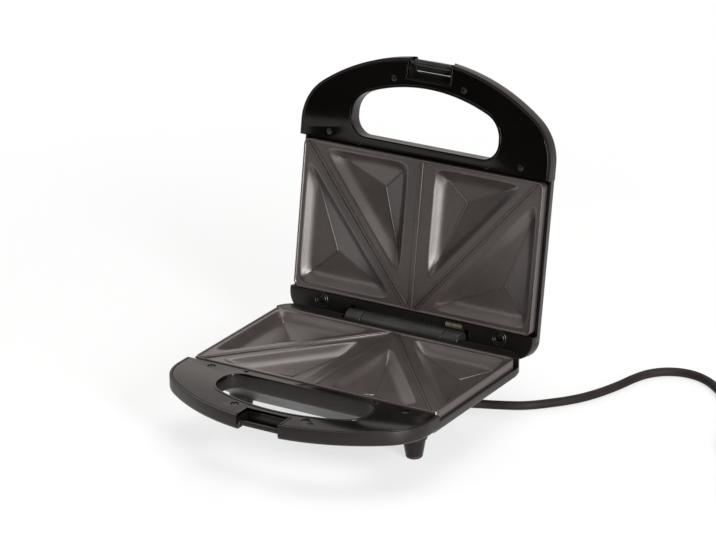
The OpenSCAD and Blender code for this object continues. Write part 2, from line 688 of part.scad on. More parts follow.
coil_c = [318, 100];
coil_out = 41;
coil_step = 7.8;
coil_turns = 53 / 24;
coil_start = 200;
coil_lift = 0.8;
layer_rise = cord_d + 0.7;
climb_from = coil_turns / 2 - 0.25;
climb_to = coil_turns / 2 + 0.25;
function coil_radius(t) = coil_out - coil_step * min(t, coil_turns - t);
function coil_height(t) = cord_r + coil_lift + layer_rise * max(0, min(1, (t - climb_from) / (climb_to - climb_from)));
function coil_point(t) = let (a = coil_start + 360 * t)
    [coil_c[0] + coil_radius(t) * cos(a), coil_c[1] + coil_radius(t) * sin(a), coil_height(t)];

function side_of(t) = unit(cross(t, [0, 0, 1]));
function ring_at(p, t, r, n) = let (s = side_of(t), u = cross(s, unit(t)))
    [for (k = [0:n - 1]) let (a = 360 * (k + 0.5) / n) p + r * (cos(a) * s + sin(a) * u)];
function tangent(p, i) = p[min(i + 1, len(p) - 1)] - p[max(i - 1, 0)];

// A tube swept along points, one ring of n corners at each
module tube(p, r, n) {
    m = len(p);
    points = [for (i = [0:m - 1]) each ring_at(p[i], tangent(p, i), r, n)];
    first = [for (k = [0:n - 1]) k];
    last = [for (k = [0:n - 1]) n * m - 1 - k];
    sides = [for (i = [0:m - 2]) for (k = [0:n - 1]) let (a = i * n + k, b = i * n + (k + 1) % n)
        each [[a, a + n, b + n], [a, b + n, b]]];
    polyhedron(points, concat([first], sides, [last]));
}

coil_rings = 24;
coil_steps = round(coil_turns * coil_rings);
coil_line = [for (i = [0:coil_steps]) coil_point(i / coil_rings)];
function coil_dir(t) = let (a = coil_start + 360 * t) [-sin(a), cos(a), 0];
coil_first = coil_line[0] - coil_dir(0) * cord_d;
coil_last = coil_line[coil_steps] + coil_dir(coil_turns) * cord_d;
coil_path = concat([coil_first], coil_line, [coil_last]);
coil_gap = min([for (i = [0:coil_steps]) for (j = [i + coil_rings / 2:coil_steps])
    norm(coil_line[i] - coil_line[j])]) - cord_d;

function length_of(p) = len(p) < 2 ? 0 : let (d = [for (i = [1:len(p) - 1]) norm(p[i] - p[i - 1])])
    d * [for (x = d) 1];
// Each run's ends lie straight before they meet the next piece
lead_path = concat([cord_start, cord_start + 2.5 * outlet_dir], route, [coil_first - 3 * coil_dir(0), coil_first]);
tail_path = concat([coil_last, coil_last + 3 * coil_dir(coil_turns)], tail, [plug_at + [0, 3, 0], plug_at]);
echo(coil_gap = coil_gap);
echo(cord_length = length_of(lead_path) + length_of(coil_path) + length_of(tail_path));

module mains_cord() color([0.1, 0.09, 0.09]) in_frame() {
    tube(lead_path, cord_r, 10);
    tube(tail_path, cord_r, 10);
}

module cord_coil() color([0.1, 0.09, 0.09]) in_frame() tube(coil_path, cord_r, 6);

tie_a = 20;
module coil_tie() color([0.15, 0.15, 0.15]) in_frame()
    translate([coil_c[0], coil_c[1], 0]) rotate([0, 0, tie_a]) difference() {
        block(31.2, 43.2, -2, 2, 0, 17.2);
        block(31.9, 42.5, -3, 3, 0.5, 16.5);
    }

module along_plug() translate(plug_at) rotate([90, 0, 0]) children();

module plug_body() color([0.1, 0.1, 0.1]) in_frame() along_plug() difference() {
    rotate_extrude() polygon([[0, 0], [4.4, 0], [5.2, 15], [8, 19], [12, 27], [16.8, 34], [18.4, 38],
        [18.4, 50], [17.6, 51], [0, 51]]);
    for (s = [-1, 1]) {
        translate([s * 9.5, 0, 46]) cylinder(h = 10, r = 2.4);
        translate([-2.5, s * 18.4 - 2, 36]) cube([5, 4, 20]);
    }
}

module plug_pins() color([0.8, 0.8, 0.8]) in_frame() along_plug() for (s = [-1, 1])
    translate([s * 9.5, 0, 46]) {
        cylinder(h = 22, r = 2.4);
        translate([0, 0, 22 - eps]) cylinder(h = 2, r1 = 2.4, r2 = 1.4);
    }

// ---------- what is drawn ----------
base_shell();
base_handle_cover();
base_cover_screws();
base_plate();
base_element();
base_element_straps();
base_reflector();
base_plate_screws();
thermostat();
terminal_block();
base_leads();
front_feet();
rear_feet();
foot_pads();
hinge_bracket();
hinge_pins();
strain_relief();
cord_clamp();
cord_clamp_screws();
mains_cord();
cord_coil();
coil_tie();
plug_body();
plug_pins();
lid_shell();
lid_handle_cover();
lid_cover_screws();
lid_plate();
lid_element();
lid_element_straps();
lid_reflector();
lid_plate_screws();
thermal_fuse();
lid_leads();
lid_rear_screws();
hinge_barrel();
lead_sleeve();
power_lens();
ready_lens();
lamps();
latch_pin();
latch_lever();
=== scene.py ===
# %% [markdown]
# # A sandwich toaster, dressed in Blender
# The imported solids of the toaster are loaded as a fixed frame. On the real object most of what one
# sees is moulded plastic and cast metal, so the pieces here are smooth surfaces worked out with
# numpy that stand where the solids stand. All shapes are first written in millimetres, measured
# from the plates' centre on the table, and one function turns them into metres in the frame.

# %% Loading the frame
import math
import bpy
import bmesh
import numpy as np
from mathutils import Matrix


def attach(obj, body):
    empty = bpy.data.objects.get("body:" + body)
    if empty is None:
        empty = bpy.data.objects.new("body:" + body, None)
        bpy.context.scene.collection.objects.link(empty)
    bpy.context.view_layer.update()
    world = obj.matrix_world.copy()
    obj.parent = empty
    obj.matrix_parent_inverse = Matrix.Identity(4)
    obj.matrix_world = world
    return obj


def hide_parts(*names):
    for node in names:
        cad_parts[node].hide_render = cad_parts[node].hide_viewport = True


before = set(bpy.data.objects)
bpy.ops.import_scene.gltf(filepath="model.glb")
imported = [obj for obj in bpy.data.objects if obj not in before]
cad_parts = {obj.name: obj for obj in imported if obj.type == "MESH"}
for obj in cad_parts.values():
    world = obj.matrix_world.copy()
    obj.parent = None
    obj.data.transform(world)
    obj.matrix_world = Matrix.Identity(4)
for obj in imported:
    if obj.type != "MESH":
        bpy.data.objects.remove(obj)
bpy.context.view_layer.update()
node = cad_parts
scene = bpy.context.scene
print("solids:", len(node))

# %% [markdown]
# The lid is easier to describe closed, as a mirror image of the base. Three short functions do the
# rest: `flip` mirrors a base shape about the parting height, `swing` opens it about the hinge, and
# `metres` moves it into the frame. A mirror image has its faces turned round again afterwards.

# %% Millimetres to metres, closed to open
MID = 51.25
HINGE_Y, HINGE_Z = 76.0, 47.0
OPEN = math.radians(99.5)
SHIFT_Y = 1.9


def flip(p):
    """Mirror about the height where the halves part: z becomes 2 MID - z."""
    return np.stack([p[..., 0], p[..., 1], 2 * MID - p[..., 2]], -1)


def swing(p, angle=OPEN, y0=HINGE_Y, z0=HINGE_Z):
    """Turn about a line along X through (y0, z0), front edge upwards by the angle."""
    y, z = p[..., 1] - y0, p[..., 2] - z0
    c, s = math.cos(angle), math.sin(angle)
    return np.stack([p[..., 0], y0 + y * c + z * s, z0 - y * s + z * c], -1)


def metres(p):
    """Millimetres from the plates' centre to metres in the frame."""
    return (np.asarray(p, float) - [0, SHIFT_Y, 0]) / 1000


# a place is a function for the points, and whether it mirrors them
in_base = (metres, False)
in_lid = (lambda p: metres(swing(flip(p))), True)
in_lid_upright = (lambda p: metres(swing(p)), False)

# %% [markdown]
# A piece is a grid of points, n rows of m points, with quads between neighbours. Rows can join up
# at their ends, and the first and last row can each close on a middle point, a pole. That covers
# tubes, rings, blocks, shells and turned parts, and every mesh comes out closed.


# %% Grids of points into meshes
def grid_faces(n, m, wrap_n, wrap_m):
    """Quads between row i and i+1, column j and j+1, as one array."""
    i = np.arange(n if wrap_n else n - 1)
    j = np.arange(m if wrap_m else m - 1)
    i, j = np.meshgrid(i, j, indexing="ij")
    i2, j2 = (i + 1) % n, (j + 1) % m
    return np.stack([i * m + j, i * m + j2, i2 * m + j2, i2 * m + j], -1).reshape(-1, 4)


def new_piece(name, points, faces, mirrored):
    """An object at the origin with these points and faces, turned round if they were mirrored."""
    mesh = bpy.data.meshes.new(name)
    mesh.from_pydata(points.tolist(), [], faces)
    mesh.update()
    if mirrored:
        mesh.flip_normals()
    obj = bpy.data.objects.new(name, mesh)
    scene.collection.objects.link(obj)
    return obj


def rows_mesh(name, rows, where=in_base, ring=False):
    """A closed mesh through rows of points; each row is a closed loop. The rows themselves join up
    into a ring, or the first and last each close on the mean of their points."""
    move, mirrored = where
    rows = np.asarray(rows, float)
    n, m = rows.shape[:2]
    points = rows.reshape(-1, 3)
    faces = grid_faces(n, m, ring, True).tolist()
    if not ring:
        points = np.concatenate([points, rows[:1].mean(1), rows[-1:].mean(1)])
        k = np.arange(m)
        k2 = (k + 1) % m
        last = (n - 1) * m
        faces += np.stack([k2, k, np.full(m, n * m)], -1).tolist()
        faces += np.stack([last + k, last + k2, np.full(m, n * m + 1)], -1).tolist()
    return new_piece(name, move(points), faces, mirrored)


def smooth(obj, angle=32):
    """Smooth shading, with a crisp edge where faces meet at more than the angle."""
    mesh = obj.data
    mesh.shade_smooth()
    mesh.set_sharp_from_angle(angle=math.radians(angle))
    return obj


def joined(name, parts):
    """One object out of several, each part keeping its own closed surface. A triangle that a cut
    left open is filled."""
    joined_mesh = bmesh.new()
    for part in parts:
        joined_mesh.from_mesh(part.data)
    gaps = [edge for edge in joined_mesh.edges if edge.is_boundary]
    if gaps:
        bmesh.ops.holes_fill(joined_mesh, edges=gaps, sides=8)
    mesh = bpy.data.meshes.new(name)
    joined_mesh.to_mesh(mesh)
    joined_mesh.free()
    for part in parts:
        bpy.data.objects.remove(part)
    obj = bpy.data.objects.new(name, mesh)
    scene.collection.objects.link(obj)
    return smooth(obj)


def cut(obj, cutters):
    """Take the cutters' volume out of the piece, and remove the cutters."""
    for tool in cutters:
        step = obj.modifiers.new("cut", "BOOLEAN")
        step.operation, step.solver, step.object = "DIFFERENCE", "EXACT", tool
    bpy.context.view_layer.update()
    result = obj.evaluated_get(bpy.context.evaluated_depsgraph_get())
    done = bpy.data.meshes.new_from_object(result)
    obj.modifiers.clear()
    obj.data = done
    for tool in cutters:
        bpy.data.objects.remove(tool)
    return obj


# %% [markdown]
# Outlines seen from above are arcs joined by straight runs. Growing an outline moves each point
# along the bisector of its neighbours, so a rounded edge is a few grown copies at stepped heights.


# %% Outlines
def arc(centre, radius, a0, a1, n):
    """Points on a circle from angle a0 to a1, in degrees."""
    a = np.radians(np.linspace(a0, a1, n + 1))
    return np.stack([centre[0] + radius * np.cos(a), centre[1] + radius * np.sin(a)], -1)


def grow(outline, d):
    """Each point moves outwards by d, measured square to both of its edges."""
    e = np.roll(outline, -1, 0) - outline
    e = e / np.linalg.norm(e, axis=1, keepdims=True)
    out = np.stack([e[:, 1], -e[:, 0]], -1)
    before = np.roll(out, 1, 0)
    both = out + before
    return outline + both * d / (1 + (out * before).sum(1, keepdims=True))


def rounded_rect(hw, front, rear, rf, rr, n=10):
    """A rectangle with front corners of radius rf and rear corners of radius rr."""
    return np.concatenate([
        arc((hw - rf, front + rf), rf, -90, 0, n), arc((hw - rr, rear - rr), rr, 0, 90, n),
        arc((rr - hw, rear - rr), rr, 90, 180, n), arc((rf - hw, front + rf), rf, 180, 270, n)])


def at_height(outline, z):
    """The outline's points, all at height z."""
    return np.column_stack([outline, np.full(len(outline), z)])


def levels(outline, steps):
    """One row for each (growth, height)."""
    return np.stack([at_height(grow(outline, g), z) for g, z in steps])


def edge_steps(z0, z1, r=0.8, n=4, g=0.0):
    """Steps of a slab from z0 to z1 whose two edges are rounded by r."""
    a = np.radians(np.linspace(0, 90, n + 1))
    low = [(g - r + r * math.sin(t), z0 + r - r * math.cos(t)) for t in a]
    high = [(g - r + r * math.cos(t), z1 - r + r * math.sin(t)) for t in a]
    return low + high


def slab(name, outline, z0, z1, r=0.8, where=in_base):
    """The outline carried up from z0 to z1, with both edges rounded."""
    return rows_mesh(name, levels(outline, edge_steps(z0, z1, r)), where)


def block(name, x0, x1, y0, y1, z0, z1, r=0.6, corner=0.8, where=in_base):
    """A slab on a rectangle with softened corners."""
    c = min(corner, (x1 - x0) / 2.2, (y1 - y0) / 2.2)
    outline = rounded_rect((x1 - x0) / 2, y0, y1, c, c, 4) + [(x0 + x1) / 2, 0]
    return slab(name, outline, z0, z1, min(r, (z1 - z0) / 2.2), where)


def box_tool(x0, x1, y0, y1, z0, z1, where=in_base):
    """A sharp-edged box, to cut with."""
    outline = np.array([[x1, y0], [x1, y1], [x0, y1], [x0, y0]], float)
    return rows_mesh("tool", levels(outline, [(0, z0), (0, z1)]), where)


def post_tool(x, y, r, z0, z1, where=in_base):
    """An upright cylinder, to cut with."""
    return rows_mesh("tool", levels(arc((x, y), r, 0, 350, 35), [(0, z0), (0, z1)]), where)


def both_sides(*spots):
    """Each spot at x and again at -x: first all at x, then all at -x."""
    return [(s * x, y) for s in (1, -1) for x, y in spots]


print("outline helpers ready")

# %% [markdown]
# ## Camera
# The camera stands where the photograph's stood. Azimuth, height, distance and focal length were
# worked out from the corners of both plates, so here they are plain numbers.

# %% Camera
AZ, EL, ROLL = math.radians(31.69), math.radians(21.35), math.radians(-0.54)
DISTANCE, TARGET_X, TARGET_Z = 2.7937, 0.0033, 0.1236
FOCAL_PX, FRAME_WIDTH_PX, SENSOR_MM = 3634.2, 716, 36
back = np.array([math.sin(AZ) * math.cos(EL), -math.cos(AZ) * math.cos(EL), math.sin(EL)])
right = np.array([math.cos(AZ), math.sin(AZ), 0.0])
up = np.cross(back, right)
right, up = (math.cos(ROLL) * right + math.sin(ROLL) * up,
             math.cos(ROLL) * up - math.sin(ROLL) * right)
target = TARGET_X * np.array([math.cos(AZ), math.sin(AZ), 0]) + [0, -SHIFT_Y / 1000, TARGET_Z]
eye = target + back * DISTANCE
axes = [[right[i], up[i], back[i], eye[i]] for i in range(3)]
lens = bpy.data.cameras.new("camera")
camera = bpy.data.objects.new("camera", lens)
scene.collection.objects.link(camera)
camera.matrix_world = Matrix(axes + [[0, 0, 0, 1]])
lens.sensor_width = SENSOR_MM
lens.lens = SENSOR_MM * FOCAL_PX / FRAME_WIDTH_PX
lens.clip_end = 50
scene.camera = camera
print("camera at", eye.round(3))

# %% [markdown]
# ## Studio
# A flat white table that fades into white, a soft sky, and three large soft lamps. The sky is
# brighter from above and behind than from the camera's side: glossy black plastic shows hardly
# anything but what it reflects, and the lid's cover looks almost black from the front.


# %% Shader helpers
def blank_material(name):
    """A material with no nodes yet, its nodes and its links."""
    material = bpy.data.materials.new(name)
    material.use_nodes = True
    nodes = material.node_tree.nodes
    nodes.clear()
    return material, nodes, material.node_tree.links


def new_node(nodes, kind, **values):
    """A node whose inputs, or else whose settings, get the given values."""
    made = nodes.new("ShaderNode" + kind)
    for key, value in values.items():
        if key in made.inputs:
            made.inputs[key].default_value = value
        else:
            setattr(made, key, value)
    return made


# %% Floor, sky and lamps
FLOOR_FRONT, FLOOR_BACK, FLOOR_SIDE = -0.85, 7, 5


def studio_floor():
    """A flat sheet, square to the camera's azimuth, that starts in front of the object."""
    corners = np.array([[-FLOOR_SIDE, FLOOR_FRONT, 0], [FLOOR_SIDE, FLOOR_FRONT, 0],
                        [FLOOR_SIDE, FLOOR_BACK, 0], [-FLOOR_SIDE, FLOOR_BACK, 0]])
    mesh = bpy.data.meshes.new("studio_floor")
    turn = np.array([[math.cos(AZ), math.sin(AZ), 0], [-math.sin(AZ), math.cos(AZ), 0], [0, 0, 1]])
    mesh.from_pydata((corners @ turn).tolist(), [], [(0, 1, 2, 3)])
    floor = bpy.data.objects.new("studio_floor", mesh)
    scene.collection.objects.link(floor)
    return floor


def white_sheet():
    """A slightly glossy white table that fades into plain white far from the object."""
    material, nodes, links = blank_material("white sheet")
    out = new_node(nodes, "OutputMaterial")
    shade = new_node(nodes, "BsdfPrincipled", **{"Base Color": (0.93, 0.93, 0.93, 1),
                                                 "Specular IOR Level": 0.35})
    grain = new_node(nodes, "TexNoise", Scale=9.0, Detail=3.0)
    uneven = new_node(nodes, "MapRange", **{"From Min": 0.3, "From Max": 0.7,
                                            "To Min": 0.13, "To Max": 0.2})
    links.new(grain.outputs["Fac"], uneven.inputs["Value"])
    links.new(uneven.outputs["Result"], shade.inputs["Roughness"])
    far = new_node(nodes, "MapRange", interpolation_type="SMOOTHSTEP",
                   **{"From Min": 0.3, "From Max": 0.8, "To Min": 0.68})
    place = new_node(nodes, "TexCoord")
    reach = new_node(nodes, "VectorMath", operation="LENGTH")
    links.new(place.outputs["Object"], reach.inputs[0])
    links.new(reach.outputs["Value"], far.inputs["Value"])
    path = new_node(nodes, "LightPath")
    seen = path.outputs["Is Camera Ray"]
    for ray in ("Is Glossy Ray", "Is Transmission Ray"):
        either = new_node(nodes, "Math", operation="MAXIMUM")
        links.new(seen, either.inputs[0])
        links.new(path.outputs[ray], either.inputs[1])
        seen = either.outputs[0]
    share = new_node(nodes, "Math", operation="MULTIPLY")
    links.new(seen, share.inputs[0])
    links.new(far.outputs[0], share.inputs[1])
    white = new_node(nodes, "Emission", Color=(1, 1, 1, 1), Strength=1.0)
    mix = new_node(nodes, "MixShader")
    links.new(share.outputs[0], mix.inputs[0])
    links.new(shade.outputs[0], mix.inputs[1])
    links.new(white.outputs[0], mix.inputs[2])
    links.new(mix.outputs[0], out.inputs[0])
    return material


floor = studio_floor()
floor.data.materials.append(white_sheet())

world = bpy.data.worlds.new("soft sky")
scene.world = world
world.use_nodes = True
nodes, links = world.node_tree.nodes, world.node_tree.links
nodes.clear()
out = new_node(nodes, "OutputWorld")
mix = new_node(nodes, "MixShader")
seen = new_node(nodes, "Background", Color=(1, 1, 1, 1), Strength=1.0)
light = new_node(nodes, "Background", Color=(1, 1, 1, 1), Strength=1.0)
path = new_node(nodes, "LightPath")
links.new(path.outputs["Is Camera Ray"], mix.inputs[0])
links.new(light.outputs[0], mix.inputs[1])
links.new(seen.outputs[0], mix.inputs[2])
links.new(mix.outputs[0], out.inputs[0])
where_to = new_node(nodes, "TexCoord")
slope = new_node(nodes, "VectorMath", operation="DOT_PRODUCT")
slope.inputs[1].default_value = (-0.35, 0.85, 0.4)
links.new(where_to.outputs["Generated"], slope.inputs[0])
band = new_node(nodes, "ValToRGB")
band.color_ramp.elements[0].color = (0.02, 0.0195, 0.019, 1)
band.color_ramp.elements[1].color = (1, 0.945, 0.915, 1)
for position, grey in ((0.36, 0.05), (0.7, 0.42)):
    band.color_ramp.elements.new(position).color = (grey, grey * 0.955, grey * 0.93, 1)
lift = new_node(nodes, "Math", operation="MULTIPLY_ADD")
lift.inputs[1].default_value, lift.inputs[2].default_value = 0.5, 0.5
links.new(slope.outputs["Value"], lift.inputs[0])
links.new(lift.outputs[0], band.inputs[0])
links.new(band.outputs[0], light.inputs["Color"])


def lamp(name, place, aim, size, power):
    """A rectangular lamp at a place, turned to face its aim; size is its width and height."""
    data = bpy.data.lights.new(name, "AREA")
    data.shape, data.size, data.size_y, data.energy = "RECTANGLE", size[0], size[1], power
    obj = bpy.data.objects.new(name, data)
    scene.collection.objects.link(obj)
    z = np.array(place, float) - np.array(aim, float)
    z /= np.linalg.norm(z)
    x = np.cross([0, 0, 1], z)
    x /= np.linalg.norm(x)
    y = np.cross(z, x)
    obj.matrix_world = Matrix([[x[i], y[i], z[i], place[i]] for i in range(3)] + [[0, 0, 0, 1]])
    return obj


lamp("key", (-1.3, -1.1, 1.5), (0, 0, 0.1), (0.9, 0.9), 4)
lamp("side", (1.4, -0.78, 0.62), (0, 0, 0.62), (0.45, 1.2), 42)
lamp("top", (0.1, 0.3, 2.2), (0, 0, 0), (1.4, 1.4), 21)

# %% [markdown]
# ## Cord
# The cord is a fixed length of rubber with two cores. It leaves a tapered sleeve under the belly,
# lies on the table in a loose curve, and its spare length is wound beside the plug. The route is
# a list of given points; one smooth curve through them gives the path of a swept tube.

# %% The cord's route
CORD_R, CORD_SIDES, CORD_STEP, CORD_GIRTH_M = 3.5, 16, 3.2, 0.022
outlet = np.array([21, 38.5, 9.2])
OUTLET_TURN = math.radians(24)
outlet_dir = np.array([math.cos(OUTLET_TURN), math.sin(OUTLET_TURN), 0])
cord_start = outlet + outlet_dir * 24
on_table = np.array([
    [48, 50.9, 8.6], [54, 54, 6.9], [61, 57.8, 5], [68, 61.6, 3.8], [76, 65.6, 3.5],
    [85, 69.2, 3.5], [95, 73.6, 3.5], [105, 79, 3.5], [114, 86.4, 3.5], [123, 96, 3.5],
    [131, 105.5, 3.5], [138.5, 117, 3.5], [144.5, 130, 3.5], [149, 143, 3.5], [152.5, 156, 3.5],
    [155.5, 170, 3.5], [160.5, 184, 3.5], [169.5, 195, 3.5], [182, 201, 3.5], [196, 201, 3.5],
    [209.5, 195.5, 3.5], [222, 186, 3.5], [233.5, 174.5, 3.5], [244, 161.5, 3.6],
    [253.5, 147.5, 3.7], [262, 132.5, 3.9], [269.5, 116, 4.1]])
to_plug = np.array([[337, 59.3, 12.6], [345.5, 55.8, 13.8], [352.5, 49.5, 15.4], [357, 41.5, 17.3]])
plug_at = np.array([359, 32, 18.5])
COIL, COIL_R, COIL_STEP, TURNS, COIL_START = np.array([318, 100.0]), 41, 7.8, 53 / 24, 200
COIL_LIFT, COIL_LAYER = 0.8, 7.7


def coil_points(t):
    """Turn t lies on a circle that draws in and out again at a steady rate, and climbs one layer
    in the half turn in the middle."""
    a = np.radians(COIL_START + 360 * t)
    r = COIL_R - COIL_STEP * np.minimum(t, TURNS - t)
    z = CORD_R + COIL_LIFT + COIL_LAYER * np.clip((t - TURNS / 2 + 0.25) / 0.5, 0, 1)
    return np.stack([COIL[0] + r * np.cos(a), COIL[1] + r * np.sin(a), z], -1)


def coil_way(t):
    """The direction of travel at turn t, square to the radius."""
    a = math.radians(COIL_START + 360 * t)
    return np.array([-math.sin(a), math.cos(a), 0])


coil = coil_points(np.arange(0, TURNS + 1e-6, 1 / 24))
way_in, way_out = coil_way(0), coil_way(TURNS)
stops = np.concatenate([
    [cord_start, cord_start + outlet_dir * 2.5], on_table,
    [coil[0] - way_in * 10, coil[0] - way_in * 7], coil,
    [coil[-1] + way_out * 7, coil[-1] + way_out * 10], to_plug, [plug_at + [0, 3, 0], plug_at]])


def smooth_path(points, step):
    """A Catmull-Rom curve: between two stops, a cubic whose ends point along their neighbours."""
    p = np.concatenate([[2 * points[0] - points[1]], points, [2 * points[-1] - points[-2]]])
    runs = []
    for a, b, c, d in zip(p, p[1:], p[2:], p[3:]):
        t = np.linspace(0, 1, max(2, int(np.linalg.norm(c - b) / step) + 1))[:-1, None]
        m0, m1 = (c - a) / 2, (d - b) / 2
        runs.append((2 * t**3 - 3 * t**2 + 1) * b + (t**3 - 2 * t**2 + t) * m0
                    + (3 * t**2 - 2 * t**3) * c + (t**3 - t**2) * m1)
    return np.concatenate(runs + [points[-1:]])


def tube_rows(path, radius, sides=16, rise=(0, 0, 1.0)):
    """Rings square to a path; radius may change from point to point."""
    way = np.gradient(path, axis=0)
    way /= np.linalg.norm(way, axis=1, keepdims=True)
    side = np.cross(way, rise)
    side /= np.linalg.norm(side, axis=1, keepdims=True)
    top = np.cross(way, side)
    a = np.linspace(0, 2 * np.pi, sides, endpoint=False)
    r = np.broadcast_to(radius, len(path))[:, None, None]
    ring = np.cos(a)[None, :, None] * side[:, None] + np.sin(a)[None, :, None] * top[:, None]
    return path[:, None] + ring * r


def wrap_uv(obj, n, m, along, around):
    """UV for a rows mesh: u runs along the path in metres, v once around."""
    mesh = obj.data
    corner = np.empty(len(mesh.loops), int)
    mesh.loops.foreach_get("vertex_index", corner)
    starts, sizes = (np.empty(len(mesh.polygons), int) for _ in range(2))
    mesh.polygons.foreach_get("loop_start", starts)
    mesh.polygons.foreach_get("loop_total", sizes)
    i, j = corner // m, corner % m
    seam = (j == 0) & (np.repeat(np.maximum.reduceat(j, starts), sizes) == m - 1)
    u = np.append(along, [along[0], along[-1]])[np.minimum(i, n)]
    v = np.where(seam, 1.0, j / m) * around
    mesh.uv_layers.new(name="along").data.foreach_set("uv", np.stack([u, v], -1).ravel())


cord_path = smooth_path(stops, CORD_STEP)
cord_metres = metres(cord_path)
steps = np.linalg.norm(np.diff(cord_metres, axis=0), axis=1)
cord = rows_mesh("mains_cord_jacket", tube_rows(cord_path, CORD_R, CORD_SIDES))
wrap_uv(cord, len(cord_path), CORD_SIDES, np.concatenate([[0], np.cumsum(steps)]), CORD_GIRTH_M)
smooth(cord, 60)

# %% [markdown]
# ## Shells
# Each half is one moulding: a D-shaped handle with a hole for the fingers, and a belly that draws
# in towards the table. The handle is a ring. Seen from a point inside the finger hole, both its
# outlines are radii that depend on the angle, so a cross-section swung round that point gives the
# whole ring, with a rounded lower edge and a thin rim that the inner cover sits in.

# %% Handle outlines
HANDLE_HW, FRONT_R, CORNER_R, FRONT_CY = 113.5, 163.0, 42.0, 22.0
CORNER_CX = HANDLE_HW - CORNER_R
CORNER_CY = FRONT_CY - math.sqrt((FRONT_R - CORNER_R) ** 2 - CORNER_CX ** 2)
MEET = math.degrees(math.atan2(CORNER_CY - FRONT_CY, CORNER_CX))
HOLE_HW, HOLE_FRONT_R, HOLE_CORNER_R, HOLE_REAR_R, HOLE_REAR = 66.5, 139.5, 20.0, 14.0, -71.0
HOLE_CORNER_X = HOLE_HW - HOLE_CORNER_R
HOLE_CORNER_Y = FRONT_CY - math.sqrt((HOLE_FRONT_R - HOLE_CORNER_R) ** 2 - HOLE_CORNER_X ** 2)
HOLE_MEET = math.degrees(math.atan2(HOLE_CORNER_Y - FRONT_CY, HOLE_CORNER_X))
HANDLE_END = -63.4
EYE_POINT = np.array([0, -92.0])


def run(a, b, n=80):
    """Even points between a and b, without the two ends."""
    return np.linspace(a, b, n + 1)[1:-1]


def handle_outline(inset):
    """Two corner arcs and a wide front arc, closed by a straight line at the back."""
    hw = HANDLE_HW - inset
    end = HANDLE_END
    front = arc((0, FRONT_CY), FRONT_R - inset, 180 - MEET, 360 + MEET, 120)
    left = arc((-CORNER_CX, CORNER_CY), CORNER_R - inset, 180, 180 - MEET, 60)
    right_arc = arc((CORNER_CX, CORNER_CY), CORNER_R - inset, MEET, 0, 60)
    a, b = np.array([hw, end]), np.array([-hw, end])
    return np.concatenate([run(right_arc[-1], a, 20), [a], run(a, b), [b], run(b, left[0], 20),
                           left[:-1], front[:-1], right_arc])


def hole_outline(d):
    """The finger hole: a straight back, round corners, and a front that follows the handle's."""
    cx, rr = HOLE_CORNER_X, HOLE_REAR_R + d
    rear_l = arc((HOLE_REAR_R - HOLE_HW, HOLE_REAR - HOLE_REAR_R), rr, 90, 180, 40)
    rear_r = arc((HOLE_HW - HOLE_REAR_R, HOLE_REAR - HOLE_REAR_R), rr, 0, 90, 40)
    left = arc((-cx, HOLE_CORNER_Y), HOLE_CORNER_R + d, 180, 180 - HOLE_MEET, 40)
    front = arc((0, FRONT_CY), HOLE_FRONT_R + d, 180 - HOLE_MEET, 360 + HOLE_MEET, 120)
    right_arc = arc((cx, HOLE_CORNER_Y), HOLE_CORNER_R + d, HOLE_MEET, 0, 40)
    return np.concatenate([
        rear_r, run(rear_r[-1], rear_l[0]), rear_l, run(rear_l[-1], left[0], 10),
        left[:-1], front[:-1], right_arc, run(right_arc[-1], rear_r[0], 10)])


corner_angles = [math.degrees(math.atan2(HANDLE_END - EYE_POINT[1], s * HANDLE_HW)) % 360
                 for s in (1, -1)]
ANGLES = np.radians(np.union1d(np.arange(0, 360, 1.25), np.round(corner_angles, 6)))


def seen_from_eye(outline):
    """The outline's points at the shared angles about the eye point."""
    d = outline - EYE_POINT
    a = np.arctan2(d[:, 1], d[:, 0]) % (2 * np.pi)
    order = np.argsort(a)
    r = np.interp(ANGLES, a[order], np.hypot(d[:, 0], d[:, 1])[order], period=2 * np.pi)
    return EYE_POINT + np.stack([r * np.cos(ANGLES), r * np.sin(ANGLES)], -1)


def ring_piece(name, steps, where):
    """steps are (which outline, growth, height), once round the cross-section."""
    rows = []
    for which, g, z in steps:
        outline = seen_from_eye(hole_outline(g) if which == "hole" else handle_outline(-g))
        rows.append(at_height(outline, z))
    return rows_mesh(name, rows, where, ring=True)


def rounded(which, g, z, dg, dz, n=5, first="z"):
    """A quarter of an ellipse from (g, z) to (g + dg, z + dz), leaving along z or along g."""
    t = np.radians(np.linspace(0, 90, n + 1))
    s, c = np.sin(t), 1 - np.cos(t)
    u, w = (c, s) if first == "z" else (s, c)
    return [(which, g + dg * a, z + dz * b) for a, b in zip(u, w)]


TOP, LOW = 50.5, 38.5
handle_steps = (
    [("hole", 0, 48.0)] + rounded("hole", 0, LOW + 1.6, 1.6, -1.6)
    + rounded("outer", -3.4, LOW, 3.4, 3.4, 8, "g")
    + rounded("outer", 0, TOP - 0.35, -0.35, 0.35, 3)
    + rounded("outer", -1.85, TOP, -0.35, -0.35, 3, "g") + [("outer", -2.2, 48.0)])
print("handle: points in a row", len(ANGLES), "and rows", len(handle_steps))

# %% [markdown]
# The belly is a stack of rounded rectangles whose sides draw in towards the table. The same stack,
# a wall's thickness further in and higher, makes the inside, and the rim joins the two.

# %% Belly
BELLY = np.array([[38, 15], [33, 15.7], [28, 18], [20, 23.5], [11, 30], [5, 34.5], [1.2, 37],
                  [0, 39]])
BELLY_HW, BELLY_FRONT, SHELL_WALL = 112, -71, 2.2
BASE_REAR, LID_REAR = 74, 82
DECK_FRONT, DECK_END = 61.8, 62
PLATE_SCREWS = (-34, 44)


